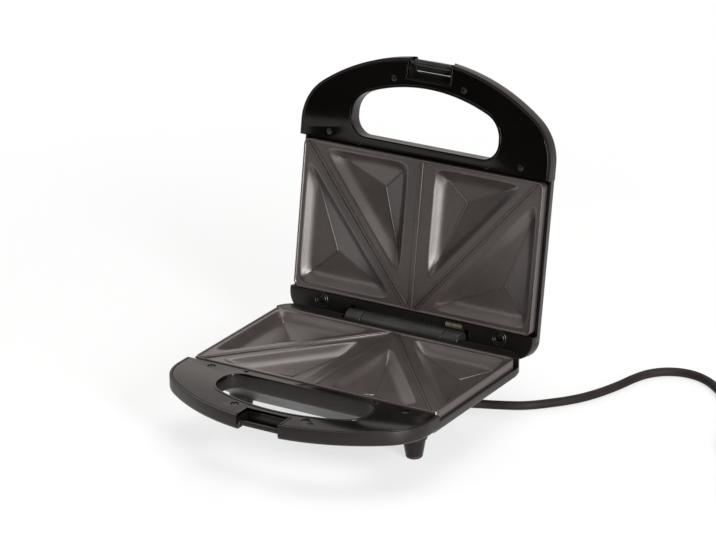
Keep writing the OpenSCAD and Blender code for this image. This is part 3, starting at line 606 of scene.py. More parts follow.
def belly_outline(inset, d, rear):
    """A rounded rectangle, drawn in by the inset at its sides and less at its front and rear, and
    grown by d."""
    return rounded_rect(BELLY_HW - inset + d, BELLY_FRONT + inset * 0.87 - d,
                        rear - inset * 0.75 + d, 5 + inset * 0.3 + min(d, 0) * 0.5,
                        17 + inset * 0.2 + min(d, 0) * 0.5, 16)


def belly_rows(rear, top):
    """Up the outside, over the rim and down the inside, which stops in front of the rear strip."""
    fine = smooth_path(BELLY, 1.3)
    rim = [(0, top - 0.6), (-0.12, top - 0.25), (-0.5, top), (-1.8, top), (-SHELL_WALL, top - 0.5)]
    out = [at_height(belly_outline(i, 0, rear), z) for i, z in fine]
    out += [at_height(belly_outline(0, d, rear), z) for d, z in rim]
    for i, z in fine[::-1]:
        inside = belly_outline(i, -SHELL_WALL, rear)
        inside[:, 1] = np.minimum(inside[:, 1], DECK_FRONT)
        out.append(at_height(inside, z + SHELL_WALL))
    return out


def hinge_bay(hinge_z, where):
    """The room for the hinge, behind the plate, from hinge_z up."""
    return box_tool(-54.5, 54.5, 66.5, 120, hinge_z, 60, where)


def rear_deck(where, rear, hinge_z, sockets=(), groove=None):
    """The strip behind the plate: a top plate inside the rim, and a wall down beside the plate.
    Its front is about as wide as the rim's corner arc leaves it there."""
    side = 94 + math.sqrt(16.5 ** 2 - max(0.0, 79.8 - rear) ** 2)
    outline = belly_outline(0, -1.0, rear)
    outline = np.concatenate([[[side, DECK_FRONT]], outline[outline[:, 1] > DECK_END],
                              [[-side, DECK_FRONT]]])
    deck = slab("deck", outline, 48.4, 50.4, 0.35, where)
    cut(deck, [hinge_bay(hinge_z, where)]
        + [post_tool(x, y, 3.3, 45, 60, where) for x, y in sockets])
    wall = block("deck", -side + 1, side - 1, DECK_FRONT, 64, 38, 48.6, 0.4, 0.5, where)
    if groove:
        for piece in (deck, wall):
            cut(piece, [box_tool(*groove, where)])
    return [deck, wall]


def lip(x, y, r_in, r_out, z0, z1, where):
    """A raised ring round a screw."""
    steps = [(r_in, z1 - 0.2), (r_in, z0), (r_out, z0), (r_out, z1 - 0.35), (r_out - 0.35, z1),
             (r_in + 0.2, z1)]
    rows = [at_height(arc((x, y), r, 0, 352.5, 47), z) for r, z in steps]
    return rows_mesh("lip", rows, where, ring=True)


def shell_parts(where, rear, hinge_z):
    """Handle ring and belly of one half, with the belly's side walls cut lower than the plate."""
    handle = ring_piece("handle", handle_steps, where)
    belly = rows_mesh("belly", belly_rows(rear, TOP), where)
    cut(belly, [box_tool(-130, 130, -90, 61.5, 44, 60, where), hinge_bay(hinge_z, where)])
    return handle, belly


BASE_GAP, LID_GAP = 18.5, 19.3
GAP_FRONT, GAP_REAR = -150, -124
FRONT_FOOT, REAR_FOOT = (78, -41), (43, 64)
BASE_HINGE_Z, LID_HINGE_Z, CATCH_Z = 35.8, 43.7, 42.5

handle, belly = shell_parts(in_base, BASE_REAR, BASE_HINGE_Z)
cut(handle, [box_tool(-BASE_GAP, BASE_GAP, GAP_FRONT, GAP_REAR, 0, 100)])
cut(belly, [post_tool(0, y, 3.6, 0, 20.5) for y in PLATE_SCREWS])
# the catch recess: its back wall, its floor, the bar that the latch hooks, and a nub beside it
fittings = [block("catch", -20.2, 20.2, -124.1, -122.4, 38.9, 48.2, 0.3),
            block("catch", -18.6, 18.6, -129, -123, 38.8, 40.8, 0.5),
            block("catch", -18.8, 18.8, -138.6, -135.4, CATCH_Z, 46.1, 0.8, 1.0)]
nub = np.stack([np.column_stack([np.full(24, x), arc((-137, 43.1), r, 0, 345, 23)])
                for x, r in ((-18.6, 2.6), (-18.3, 2.8), (-16, 2.8), (-15.75, 2.6), (-15.6, 2.2))])
fittings.append(rows_mesh("nub", nub))
# the housing round the cord's sleeve, under the belly, and the sockets of the feet
outlet_frame = np.array([outlet_dir[:2], [-outlet_dir[1], outlet_dir[0]]])
housing = outlet[:2] + np.array([[0, -9.5], [0, 9.5], [-34, 9.5], [-34, -9.5]]) @ outlet_frame
fittings.append(slab("housing", housing, 2.8, 16, 0.8))
for s in (1, -1):
    for (x, y), r, z0, z1 in ((REAR_FOOT, 9.6, 22.9, 35), (FRONT_FOOT, 10.2, 16, 28)):
        fittings.append(slab("socket", arc((s * x, y), r, 0, 352.5, 47), z0, z1, 0.5))
base_shell = joined("base_shell_skin",
                    [handle, belly] + fittings + rear_deck(in_base, BASE_REAR, BASE_HINGE_Z))
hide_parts("base_shell")
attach(base_shell, "base")

REAR_SCREWS, LENSES = both_sides((82, 67.5)), both_sides((14, -4))
SLEEVE_GROOVE = (32.4, 48.6, 62.9, 70, 45.5, 60)
handle, belly = shell_parts(in_lid, LID_REAR, LID_HINGE_Z)
cut(handle, [box_tool(-LID_GAP, LID_GAP, GAP_FRONT, GAP_REAR, 41.9, 100, in_lid),
             box_tool(-17.4, 17.4, -151, -128.4, 0, 101, in_lid)])
cut(belly, [post_tool(0, y, 3.6, 0, 20.5, in_lid) for y in PLATE_SCREWS]
    + [post_tool(x, y, 3.45, 0, 30, in_lid) for x, y in LENSES])
deck = rear_deck(in_lid, LID_REAR, LID_HINGE_Z, REAR_SCREWS, SLEEVE_GROOVE)
lips = [lip(x, y, r - 1.2, r, 44, 51, in_lid) for x, y in REAR_SCREWS for r in (4.5, 6.4)]
lid_shell = joined("lid_shell_skin", [handle, belly] + deck + lips)
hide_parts("lid_shell")
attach(lid_shell, "lid")
print("shell faces", len(base_shell.data.polygons), len(lid_shell.data.polygons))

# %% [markdown]
# ## Handle covers
# A thin plate closes each handle from the inside. It is another ring, with a raised lip round the
# finger hole that catches the light as a thin bright line. Screws sit in round counterbores.

# %% Covers
COVER_SCREWS = both_sides((87, -69.5), (31.5, -121.5))
cover_steps = (
    [("hole", 0, 48.1)] + rounded("hole", 0, 50.6, 0.5, 0.45, 4)
    + rounded("hole", 1.5, 51.05, 0.7, -0.5, 4, "g") + [("hole", 2.6, TOP)]
    + rounded("outer", -2.95, TOP, 0.5, -0.5, 4, "g") + [("outer", -2.45, 48.1)])[::-1]


def cover_piece(name, where, gap, body, node_name):
    """The ring, less the latch's gap and the counterbores, with thin strips round the gap and two
    small lugs on its rear edge."""
    plate = ring_piece("plate", cover_steps, where)
    cut(plate, [box_tool(-gap, gap, GAP_FRONT, GAP_REAR, 0, 100, where)]
        + [post_tool(x, y, 3.3, 49.2, 60, where) for x, y in COVER_SCREWS])
    past = gap + 1.4
    strips = [block("strip", x0, x1, y0, -122.6, 49, 51, 0.25, 0.3, where)
              for x0, x1, y0 in ((-past, -gap, -137), (gap, past, -137), (-past, past, GAP_REAR))]
    lugs = [block("lug", x - 1.5, x + 1.5, -66, HANDLE_END - 0.1, 49.6, 51.1, 0.4, 0.5, where)
            for x in (58, -58)]
    cover = joined(name, [plate] + strips + lugs)
    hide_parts(node_name)
    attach(cover, body)
    return cover


base_cover = cover_piece("base_handle_plate", in_base, BASE_GAP, "base", "base_handle_cover")
lid_cover = cover_piece("lid_handle_plate", in_lid, LID_GAP, "lid", "lid_handle_cover")
print("cover faces", len(base_cover.data.polygons), len(lid_cover.data.polygons))

# %% [markdown]
# The sleeve where the cord leaves the housing is a turned piece: a collar, then a taper with
# ribs that let it bend. A turned piece is a profile of radii and places along an axis.


# %% Turned pieces
def turned(name, profile, origin, axis, where=in_base, sides=40, rise=(0, 0, 1.0)):
    """Rings of the profile's (distance along the axis, radius), closed at both ends."""
    axis = np.asarray(axis, float) / np.linalg.norm(axis)
    side = np.cross(axis, rise)
    side /= np.linalg.norm(side)
    top = np.cross(axis, side)
    profile = np.asarray(profile, float)
    a = np.linspace(0, 2 * np.pi, sides, endpoint=False)
    ring = np.cos(a)[:, None] * side + np.sin(a)[:, None] * top
    rows = np.asarray(origin) + profile[:, :1, None] * axis + profile[:, 1:, None] * ring[None]
    return rows_mesh(name, rows, where)


def soft_profile(corners, r=0.5, n=4):
    """The corners of a profile, each but the ends rounded by a small arc."""
    c = np.asarray(corners, float)
    out = [c[:1]]
    for a, b, d in zip(c, c[1:], c[2:]):
        u, v = (a - b), (d - b)
        lu, lv = np.linalg.norm(u), np.linalg.norm(v)
        k = min(r, lu / 2.1, lv / 2.1)
        p, q = b + u / lu * k, b + v / lv * k
        t = np.linspace(0, 1, n + 1)[:, None]
        out.append((1 - t) ** 2 * p + 2 * t * (1 - t) * b + t ** 2 * q)
    return np.concatenate(out + [c[-1:]])


# %% Strain relief and plug
POLE_R = 0.01
sleeve_line = [(-5.4, POLE_R), (-5.4, 6), (-2.4, 6), (-2.4, 4.6), (0, 4.6), (0, 5.8), (2, 5.8),
               (2.2, 4.9)]
for i in range(5):
    s = 4.2 + i * 3.6
    r = 4.9 - s * 0.04
    sleeve_line += [(s, r), (s + 0.3, r - 0.75), (s + 1.1, r - 0.75), (s + 1.4, r)]
sleeve_line += [(23.6, 4.0), (24, 3.9), (24, POLE_R)]
relief = turned("strain_relief_sleeve", soft_profile(sleeve_line, 0.25, 3), outlet, outlet_dir)
smooth(relief)
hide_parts("strain_relief")
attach(relief, "base")

plug_line = [(0, POLE_R), (0, 4.4)]
for i in range(4):
    s = i * 3.2
    plug_line += [(1.5 + s, 4.5 + i * 0.15), (1.8 + s, 3.9), (2.9 + s, 3.9),
                  (3.2 + s, 4.6 + i * 0.15)]
plug_line += [(15.5, 5.4), (19, 8), (27, 12), (34, 16.8), (38, 18.3), (49.6, 18.3), (51, 17.4),
              (51, POLE_R)]
plug = turned("plug_moulding", soft_profile(plug_line, 1.2, 5), plug_at, (0, -1, 0), sides=64)
cut(plug, [box_tool(356.5, 361.5, -21, -2, z - 2, z + 2)
           for z in (plug_at[2] + 18.4, plug_at[2] - 18.4)])
smooth(plug, 40)
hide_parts("plug_body")
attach(plug, "base")

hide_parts("mains_cord", "cord_coil")
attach(cord, "base")
print("cord and plug made")

# %% [markdown]
# ## Plates
# A cast plate is a height for every place on it. The grid is square, with its corners pushed in to
# a quarter circle. The depth of a pocket depends on how far a place is from the nearest of the
# triangle's three sides: a soft shoulder, a wide rounded wall, and then a floor that still slopes.
# Where the nearest side changes from one to another the floor has a crease, which is the Y that
# shows in each pocket.

# %% Plates
PLATE_HW, PLATE_HD, RIM_Z, FIELD_Z, PLATE_CORNER = 109.0, 61.0, 51.0, 50.0, 5
POCKETS = [np.array([[12, -56.4], [91.5, -56.4], [12, 36.8]]),
           np.array([[105, 56.4], [16.5, 56.4], [105, -47.4]])]
# the wall's curve, as (distance from the side, depth), and the rim's, as (from the edge, height)
WALL = np.array([[-1, 0], [0, 0], [0.6, 0.45], [1.3, 1.15], [2.6, 2.6], [4.4, 4.45], [6.2, 5.9],
                 [7.6, 6.75], [9.2, 7.4], [12, 8.2], [26, 11.6]])
RIM = np.array([[0, 50.55], [0.3, 50.9], [0.7, RIM_Z], [1.1, 50.95], [1.45, 50.7], [1.75, 50.1],
                [2.1, FIELD_Z]])
SOFTNESS = 3.2


def pocket_depth(x, y):
    """Depth under the field: a fixed curve of the distance to the nearest side. Near the walls the
    three distances are blended, as -k log(sum of exp(-s / k)), so that corners are round; on the
    floor they are not, so that it has creases."""
    x = np.abs(x)
    depth = np.zeros_like(x)
    for a, b, c in POCKETS:
        sides = []
        for p, q in ((a, b), (b, c), (c, a)):
            n = np.array([p[1] - q[1], q[0] - p[0]]) / np.linalg.norm(q - p)
            sides.append((x - p[0]) * n[0] + (y - p[1]) * n[1])
        near = np.minimum.reduce(sides)
        soft = -SOFTNESS * np.log(sum(np.exp(-s / SOFTNESS) for s in sides))
        t = np.clip((near - 4) / 6, 0, 1)
        t = t * t * (3 - 2 * t)
        s = soft * (1 - t) + near * t
        depth = np.maximum(depth, np.interp(s, WALL[:, 0], WALL[:, 1]))
    return depth


def crease_lines(where):
    """Thin ribs along the creases, from the middle of each pocket out to where its walls start."""
    ribs = []
    for corners in POCKETS:
        lengths = np.linalg.norm(np.roll(corners, -1, 0) - np.roll(corners, 1, 0), axis=1)
        middle = (corners * lengths[:, None]).sum(0) / lengths.sum()
        inradius = abs(np.linalg.det(corners[1:] - corners[0])) / lengths.sum()
        for corner in corners:
            t = np.linspace(0, 1 - 8.8 / inradius, 13)[:, None]
            for side in (1, -1):
                way = (middle + (corner - middle) * t) * [side, 1]
                z = FIELD_Z - pocket_depth(way[:, 0], way[:, 1]) + 0.12
                rows = tube_rows(np.column_stack([way, z]), np.linspace(0.7, 0.4, 13), 8)
                ribs.append(rows_mesh("crease", rows, where))
    return ribs


def plate_lines(half, n):
    """Grid lines that are close together at the rim and even over the rest."""
    edge = np.array([0, 0.3, 0.7, 1.1, 1.45, 1.75, 2.1, 2.5, 2.7, 3.2])
    inner = np.linspace(-(half - 3.9), half - 3.9, n)
    return np.concatenate([edge - half, inner, (half - edge)[::-1]])


def cast_sheet(name, where):
    """The grid's top and underside, and a skirt round its border. Near a corner, u and v are how
    far a place has gone into the corner square, and its ray is shortened by max(u, v) / |(u, v)|,
    which turns squares into quarter circles."""
    corner = PLATE_CORNER
    x, y = np.meshgrid(plate_lines(PLATE_HW, 262), plate_lines(PLATE_HD, 146), indexing="ij")
    u = np.maximum(np.abs(x) - PLATE_HW + corner, 0) / corner
    v = np.maximum(np.abs(y) - PLATE_HD + corner, 0) / corner
    pull = np.where((u > 0) & (v > 0), np.maximum(u, v) / np.maximum(np.hypot(u, v), 1e-9), 1)
    border = corner - corner * np.maximum(u, v)
    x = np.where((u > 0) & (v > 0), np.sign(x) * (PLATE_HW - corner + corner * u * pull), x)
    y = np.where((u > 0) & (v > 0), np.sign(y) * (PLATE_HD - corner + corner * v * pull), y)
    depth = pocket_depth(x, y)
    top = np.interp(border, RIM[:, 0], RIM[:, 1]) - depth
    under = np.where(border < 2.6, 43.0, 47.0) - depth
    n, m = x.shape
    points = np.concatenate([np.stack([x, y, z], -1).reshape(-1, 3) for z in (top, under)])
    quads = grid_faces(n, m, False, False)
    rim = np.concatenate([np.arange(m), np.arange(1, n) * m + m - 1,
                          (n - 1) * m + np.arange(m - 2, -1, -1), np.arange(n - 2, 0, -1) * m])
    after = np.roll(rim, -1)
    skirt = np.stack([rim, after, after + n * m, rim + n * m], -1)
    faces = np.concatenate([quads[:, ::-1], quads + n * m, skirt]).tolist()
    move, mirrored = where
    return new_piece(name, move(points), faces, mirrored)


def ridge_bands():
    """Corners of the raised lines that flank each diagonal ridge: a line from the plate's rear
    middle, where x grows by the slope for each millimetre towards the front."""
    slope, half_width, stop_x = 0.8525, 1.05, 107.2
    for side in (1, -1):
        for off in (-1.6, 1.6):
            (xa, ya), (xb, yb) = [(2 + (61 - y) * slope + off, y) for y in (-59.2, 59.2)]
            if off > 0:
                xa, ya = stop_x, 61 - (stop_x - 2 - off) / slope
            band = np.array([[xa - half_width, ya], [xa + half_width, ya],
                             [xb + half_width, yb], [xb - half_width, yb]]) * [side, 1]
            yield band if side > 0 else band[::-1]


def plate_piece(name, where, body, node_name):
    """The cast sheet with its ridge lines, the bosses of its screws and the crease ribs."""
    parts = [cast_sheet(name, where),
             block("ridge", -1.7, 1.7, -59.3, 59.3, 49, 50.98, 0.5, 0.6, where)]
    parts += [slab("ridge", band, 49, 50.98, 0.45, where) for band in ridge_bands()]
    parts += [slab("boss", arc((0, y), 4.2, 0, 350, 35), 39.4, 48, 0.4, where)
              for y in PLATE_SCREWS]
    plate = joined(name, parts + crease_lines(where))
    plate.data.set_sharp_from_angle(angle=math.radians(50))
    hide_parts(node_name)
    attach(plate, body)
    return plate


base_plate = plate_piece("base_cast_plate", in_base, "base", "base_plate")
lid_plate = plate_piece("lid_cast_plate", in_lid, "lid", "lid_plate")
print("plate faces", len(base_plate.data.polygons), len(lid_plate.data.polygons))

# %% [markdown]
# ## Hinge, sleeve and latch
# Rods are turned pieces laid along X. The lid's half of the hinge is a long barrel with a web up to
# the rear of the shell. The base's half is a bracket with a knuckle at each end of the barrel.

# %% Hinge
BARREL_R, HINGE_HW = 8, 53.3


def rod(name, x0, x1, y, z, r, where=in_base, soft=0.6):
    """A round bar along X from x0 to x1."""
    profile = soft_profile([(0, POLE_R), (0, r), (x1 - x0, r), (x1 - x0, POLE_R)], soft)
    return turned(name, profile, (x0, y, z), (1, 0, 0), where, sides=48)


barrel = joined("hinge_barrel_moulding", [
    rod("barrel", -37, 37, HINGE_Y, HINGE_Z, BARREL_R, in_lid_upright),
    block("web", -37, 37, 71.2, 81.5, 50.5, 58.3, 0.8, 1.2, in_lid_upright),
    block("web", -HINGE_HW, HINGE_HW, 66.8, 81.7, 56.6, 58.7, 0.5, 1.2, in_lid_upright)])
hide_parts("hinge_barrel")
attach(barrel, "lid")

parts = [block("bracket", -HINGE_HW, HINGE_HW, 64.5, 73.8, 35.9, 38.2),
         block("bracket", -HINGE_HW, HINGE_HW, 64.5, 66.5, 35.9, 48, 0.5)]
for s in (1, -1):
    x0, x1 = sorted((s * 37.5, s * 51.9))
    parts += [rod("knuckle", x0, x1, HINGE_Y, HINGE_Z, BARREL_R),
              block("knuckle", x0, x1, 68.1, 77, 38.1, 47, 0.6, 1.0)]
    x0, x1 = sorted((s * 37.5, s * 45.9))
    parts.append(block("bracket", x0, x1, HINGE_Y, 84.1, 35.9, 39.9, 0.6, 1.0))
bracket = joined("hinge_bracket_moulding", parts)
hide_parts("hinge_bracket")
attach(bracket, "base")

strands = [(0.2 + i * 0.3, 2.25 + 0.14 * math.cos(i * 1.6)) for i in range(49)]
sleeve_line = [(0, POLE_R), (0, 2.2)] + strands + [(15, 2.2), (15, POLE_R)]
sleeve = turned("braided_sleeve", sleeve_line, (33, 65.6, 54.4), (1, 0, 0), in_lid_upright)
smooth(sleeve, 60)
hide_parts("lead_sleeve")
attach(sleeve, "lid")
print("hinge made")

# %% [markdown]
# The latch swings on a pin in the lid's handle. It is drawn hanging straight down, then turned up
# by 184 degrees about its pin, folded back over the handle, as it stands with the lid open. The
# feet are turned pieces again, with a soft pad under each.

# %% Latch and feet
LATCH_Y, LATCH_Z, LATCH_ANGLE = -135.5, 59.0, math.radians(-184)


def swing_latch(p):
    """Points around the pin, turned about X and moved to the lid."""
    c, s = math.cos(LATCH_ANGLE), math.sin(LATCH_ANGLE)
    y, z = p[..., 1] * c - p[..., 2] * s, p[..., 1] * s + p[..., 2] * c
    return metres(swing(np.stack([p[..., 0], y + LATCH_Y, z + LATCH_Z], -1)))


in_latch = (swing_latch, False)
# the arm's end, below the pin: 2.8 under the lower side of the catch bar
ARM = CATCH_Z - 2.8 - LATCH_Z
latch = joined("latch_moulding", [
    rod("boss", -17, 17, 0, 0, 3.2, in_latch, 0.5),
    block("root", -15, 15, -5.9, -0.5, -3.2, 0, 0.5, 0.8, in_latch),
    block("arm", -15, 15, -5.9, -3.5, ARM, 0, 0.7, 0.9, in_latch),
    block("hook", -14, 14, -4, 1, ARM, ARM + 2.1, 0.5, 0.8, in_latch),
    block("thumb", -15, 15, -8, -5, ARM, ARM + 1.6, 0.5, 0.8, in_latch)])
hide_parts("latch_lever")
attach(latch, "latch")


def upright(name, line, r, x, y, where=in_base, sides=40):
    """A turned piece that stands on the point (x, y), from a line with rounded corners."""
    return turned(name, soft_profile(line, r), (x, y, 0), (0, 0, 1), where, sides, rise=(0, 1, 0))


for name, spot, top in (("front_feet", FRONT_FOOT, 19), ("rear_feet", REAR_FOOT, 23)):
    foot_line = [(3, POLE_R), (3, 6.9), (14.6, 8.9), (15.2, 9), (top - 0.1, 9), (top - 0.1, 5.85),
                 (top + 3.7, 5.85), (top + 3.7, POLE_R)]
    feet = joined(name + "_moulding",
                  [upright("foot", foot_line, 0.5, x, y) for x, y in both_sides(spot)])
    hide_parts(name)
    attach(feet, "base")
pad_line = [(0, POLE_R), (0, 5), (0.5, 6.1), (1.5, 6.6), (3, 6.88), (3, POLE_R)]
pads = joined("foot_pad_discs", [upright("pad", pad_line, 0.5, x, y)
                                 for x, y in both_sides(FRONT_FOOT, REAR_FOOT)])
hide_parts("foot_pads")
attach(pads, "base")
print("latch and feet made")

# %% [markdown]
# ## Screws
# A screw is a turned head, slightly domed, on a thin shank. Two crossed slots are cut into the
# head.


# %% Screws
def screw_piece(name, spots, z, r, thick, shank, deep, where):
    """One object for a set of screws; z is the underside of the heads."""
    line = [(z - deep, POLE_R), (z - deep, shank), (z, shank), (z, r), (z + thick * 0.6, r),
            (z + thick, r * 0.72), (z + thick, POLE_R)]
    arm, slot = r * 0.6, 0.32
    heads = []
    for x, y in spots:
        heads.append(upright("screw", line, 0.25, x, y, where, 32))
        cut(heads[-1], [box_tool(x - a, x + a, y - b, y + b, z + thick * 0.35, z + thick + 1, where)
                        for a, b in ((arm, slot), (slot, arm))])
    return joined(name, heads)


for name, where, body in (("base_cover_screws", in_base, "base"),
                          ("lid_cover_screws", in_lid, "lid")):
    screws = screw_piece(name + "_turned", COVER_SCREWS, 49.3, 2.7, 0.9, 1.3, 7, where)
    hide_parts(name)
    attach(screws, body)
screws = screw_piece("lid_rear_screws_turned", REAR_SCREWS, 49.5, 3, 1, 1.3, 8, in_lid)
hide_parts("lid_rear_screws")
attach(screws, "lid")
print("screws made")

# %% [markdown]
# ## Shared effects
# Five effects appear in many materials, so each is a shader group, built once: a slow drift between
# two colours, a polish that is uneven, a fine grain for the bump, scattered flecks, and the fine
# parallel lines of drawn metal. Each group reads Object coordinates, so nothing slides when a
# piece swings on its hinge.


# %% Shader groups
def effect(name, inputs, output, kind):
    """An empty group with number or colour inputs and one output."""
    tree = bpy.data.node_groups.new(name, "ShaderNodeTree")
    for label, value in inputs.items():
        socket = "NodeSocketColor" if isinstance(value, tuple) else "NodeSocketFloat"
        made = tree.interface.new_socket(label, in_out="INPUT", socket_type=socket)
        made.default_value = value
    tree.interface.new_socket(output, in_out="OUTPUT", socket_type=kind)
    nodes = tree.nodes
    return tree, nodes, tree.links, nodes.new("NodeGroupInput"), nodes.new("NodeGroupOutput")


def object_place(nodes, links, stretch=(1, 1, 1)):
    """Object coordinates, scaled differently along each axis."""
    place = new_node(nodes, "TexCoord")
    mapping = new_node(nodes, "Mapping", Scale=stretch)
    links.new(place.outputs["Object"], mapping.inputs["Vector"])
    return mapping.outputs[0]


def noise_at(nodes, links, given, place, detail, rough=0.55):
    """Noise at the place, at the group's own scale."""
    noise = new_node(nodes, "TexNoise", Detail=detail, Roughness=rough)
    links.new(place, noise.inputs["Vector"])
    links.new(given.outputs["Scale"], noise.inputs["Scale"])
    return noise.outputs["Fac"]


def spread(nodes, links, value, low, high, to_low=0.0, to_high=1.0):
    """Stretch a band of values over a new band, with soft ends."""
    span = new_node(nodes, "MapRange", interpolation_type="SMOOTHSTEP",
                    **{"From Min": low, "From Max": high, "To Min": to_low, "To Max": to_high})
    links.new(value, span.inputs["Value"])
    return span


def blend(nodes, links, factor, a, b):
    """A colour mix; a and b are sockets."""
    mix = new_node(nodes, "Mix", data_type="RGBA")
    links.new(factor, mix.inputs[0])
    links.new(a, mix.inputs[6])
    links.new(b, mix.inputs[7])
    return mix.outputs[2]


def make_drift():
    """From the dark to the light colour by a slow noise."""
    inputs = {"Dark": (0, 0, 0, 1), "Light": (1, 1, 1, 1), "Scale": 20.0}
    tree, nodes, links, given, out = effect("colour drift", inputs, "Color", "NodeSocketColor")
    noise = noise_at(nodes, links, given, object_place(nodes, links), 4)
    wide = spread(nodes, links, noise, 0.34, 0.66)
    mixed = blend(nodes, links, wide.outputs[0], given.outputs["Dark"], given.outputs["Light"])
    links.new(mixed, out.inputs[0])
    return tree


def make_polish():
    """A roughness between low and high."""
    inputs = {"Low": 0.1, "High": 0.3, "Scale": 12.0}
    tree, nodes, links, given, out = effect("uneven polish", inputs, "Roughness", "NodeSocketFloat")
    noise = noise_at(nodes, links, given, object_place(nodes, links), 5, 0.62)
    wide = spread(nodes, links, noise, 0.36, 0.68)
    links.new(given.outputs["Low"], wide.inputs["To Min"])
    links.new(given.outputs["High"], wide.inputs["To Max"])
    links.new(wide.outputs[0], out.inputs[0])
    return tree


def make_height(name, scale, detail, stretch=(1, 1, 1)):
    """A noise for bump; drawn out along X, it is a set of fine parallel lines."""
    tree, nodes, links, given, out = effect(name, {"Scale": scale}, "Height", "NodeSocketFloat")
    place = object_place(nodes, links, stretch)
    links.new(noise_at(nodes, links, given, place, detail), out.inputs[0])
    return tree


def make_flecks():
    """Cells of a Voronoi pattern; one whose random value is above the share is a fleck, dense in
    its middle."""
    inputs = {"Scale": 700.0, "Share": 0.8}
    tree, nodes, links, given, out = effect("flecks", inputs, "Mask", "NodeSocketFloat")
    cells = new_node(nodes, "TexVoronoi")
    links.new(object_place(nodes, links), cells.inputs["Vector"])
    links.new(given.outputs["Scale"], cells.inputs["Scale"])
    pick = new_node(nodes, "SeparateColor")
    links.new(cells.outputs["Color"], pick.inputs[0])
    chosen = new_node(nodes, "Math", operation="GREATER_THAN")
    links.new(pick.outputs[0], chosen.inputs[0])
    links.new(given.outputs["Share"], chosen.inputs[1])
    dot = spread(nodes, links, cells.outputs["Distance"], 0.15, 0.5, 1, 0)
    both = new_node(nodes, "Math", operation="MULTIPLY")
    links.new(chosen.outputs[0], both.inputs[0])
    links.new(dot.outputs[0], both.inputs[1])
    links.new(both.outputs[0], out.inputs[0])
    return tree


DRIFT, POLISH, FLECKS = make_drift(), make_polish(), make_flecks()
GRAIN = make_height("moulded grain", 900.0, 2)
LINES = make_height("drawn lines", 300.0, 3, (0.04, 1, 1))
print("groups:", [g.name for g in (DRIFT, POLISH, GRAIN, FLECKS, LINES)])

# %% [markdown]
# ## Materials
# One function builds the body that most finishes share: drifting colour, uneven polish and a grain.
# Flecks are added where the real coating has them. Everything that is the same all over, such as
# metal or coat, is set on the shader itself.


# %% Finishes
def place_group(nodes, tree, **values):
    """One of the groups above, with its own values."""
    made = nodes.new("ShaderNodeGroup")
    made.node_tree = tree
    for key, value in values.items():
        made.inputs[key].default_value = value
    return made


def finish(name, dark, light, polish, grain, drift, flecks=None, settings=()):
    """dark and light are colours, polish is (low, high, scale), grain is (group, scale, strength),
    drift is a scale, and flecks are (colour, scale, share of cells without one)."""
    material, nodes, links = blank_material(name)
    out = new_node(nodes, "OutputMaterial")
    shade = new_node(nodes, "BsdfPrincipled", **dict(settings))
    tint = place_group(nodes, DRIFT, Dark=(*dark, 1), Light=(*light, 1), Scale=drift)
    colour = tint.outputs[0]
    if flecks:
        fleck_colour, scale, share = flecks
        brighter = [min(1, c * 1.25) for c in fleck_colour]
        mask = place_group(nodes, FLECKS, Scale=scale, Share=share)
        other = place_group(nodes, DRIFT, Dark=(*fleck_colour, 1), Light=(*brighter, 1),
                            Scale=drift * 3)
        colour = blend(nodes, links, mask.outputs[0], colour, other.outputs[0])
    links.new(colour, shade.inputs["Base Color"])
    sheen = place_group(nodes, POLISH, Low=polish[0], High=polish[1], Scale=polish[2])
    links.new(sheen.outputs[0], shade.inputs["Roughness"])
    group, scale, strength = grain
    texture = place_group(nodes, group, Scale=scale)
    bump = new_node(nodes, "Bump", Strength=strength, Distance=0.0002)
    links.new(texture.outputs[0], bump.inputs["Height"])
    links.new(bump.outputs[0], shade.inputs["Normal"])
    links.new(shade.outputs[0], out.inputs[0])
    return material


def metal(*row):
    """A finish that is metal all over."""
    return finish(*row, settings={"Metallic": 1.0})


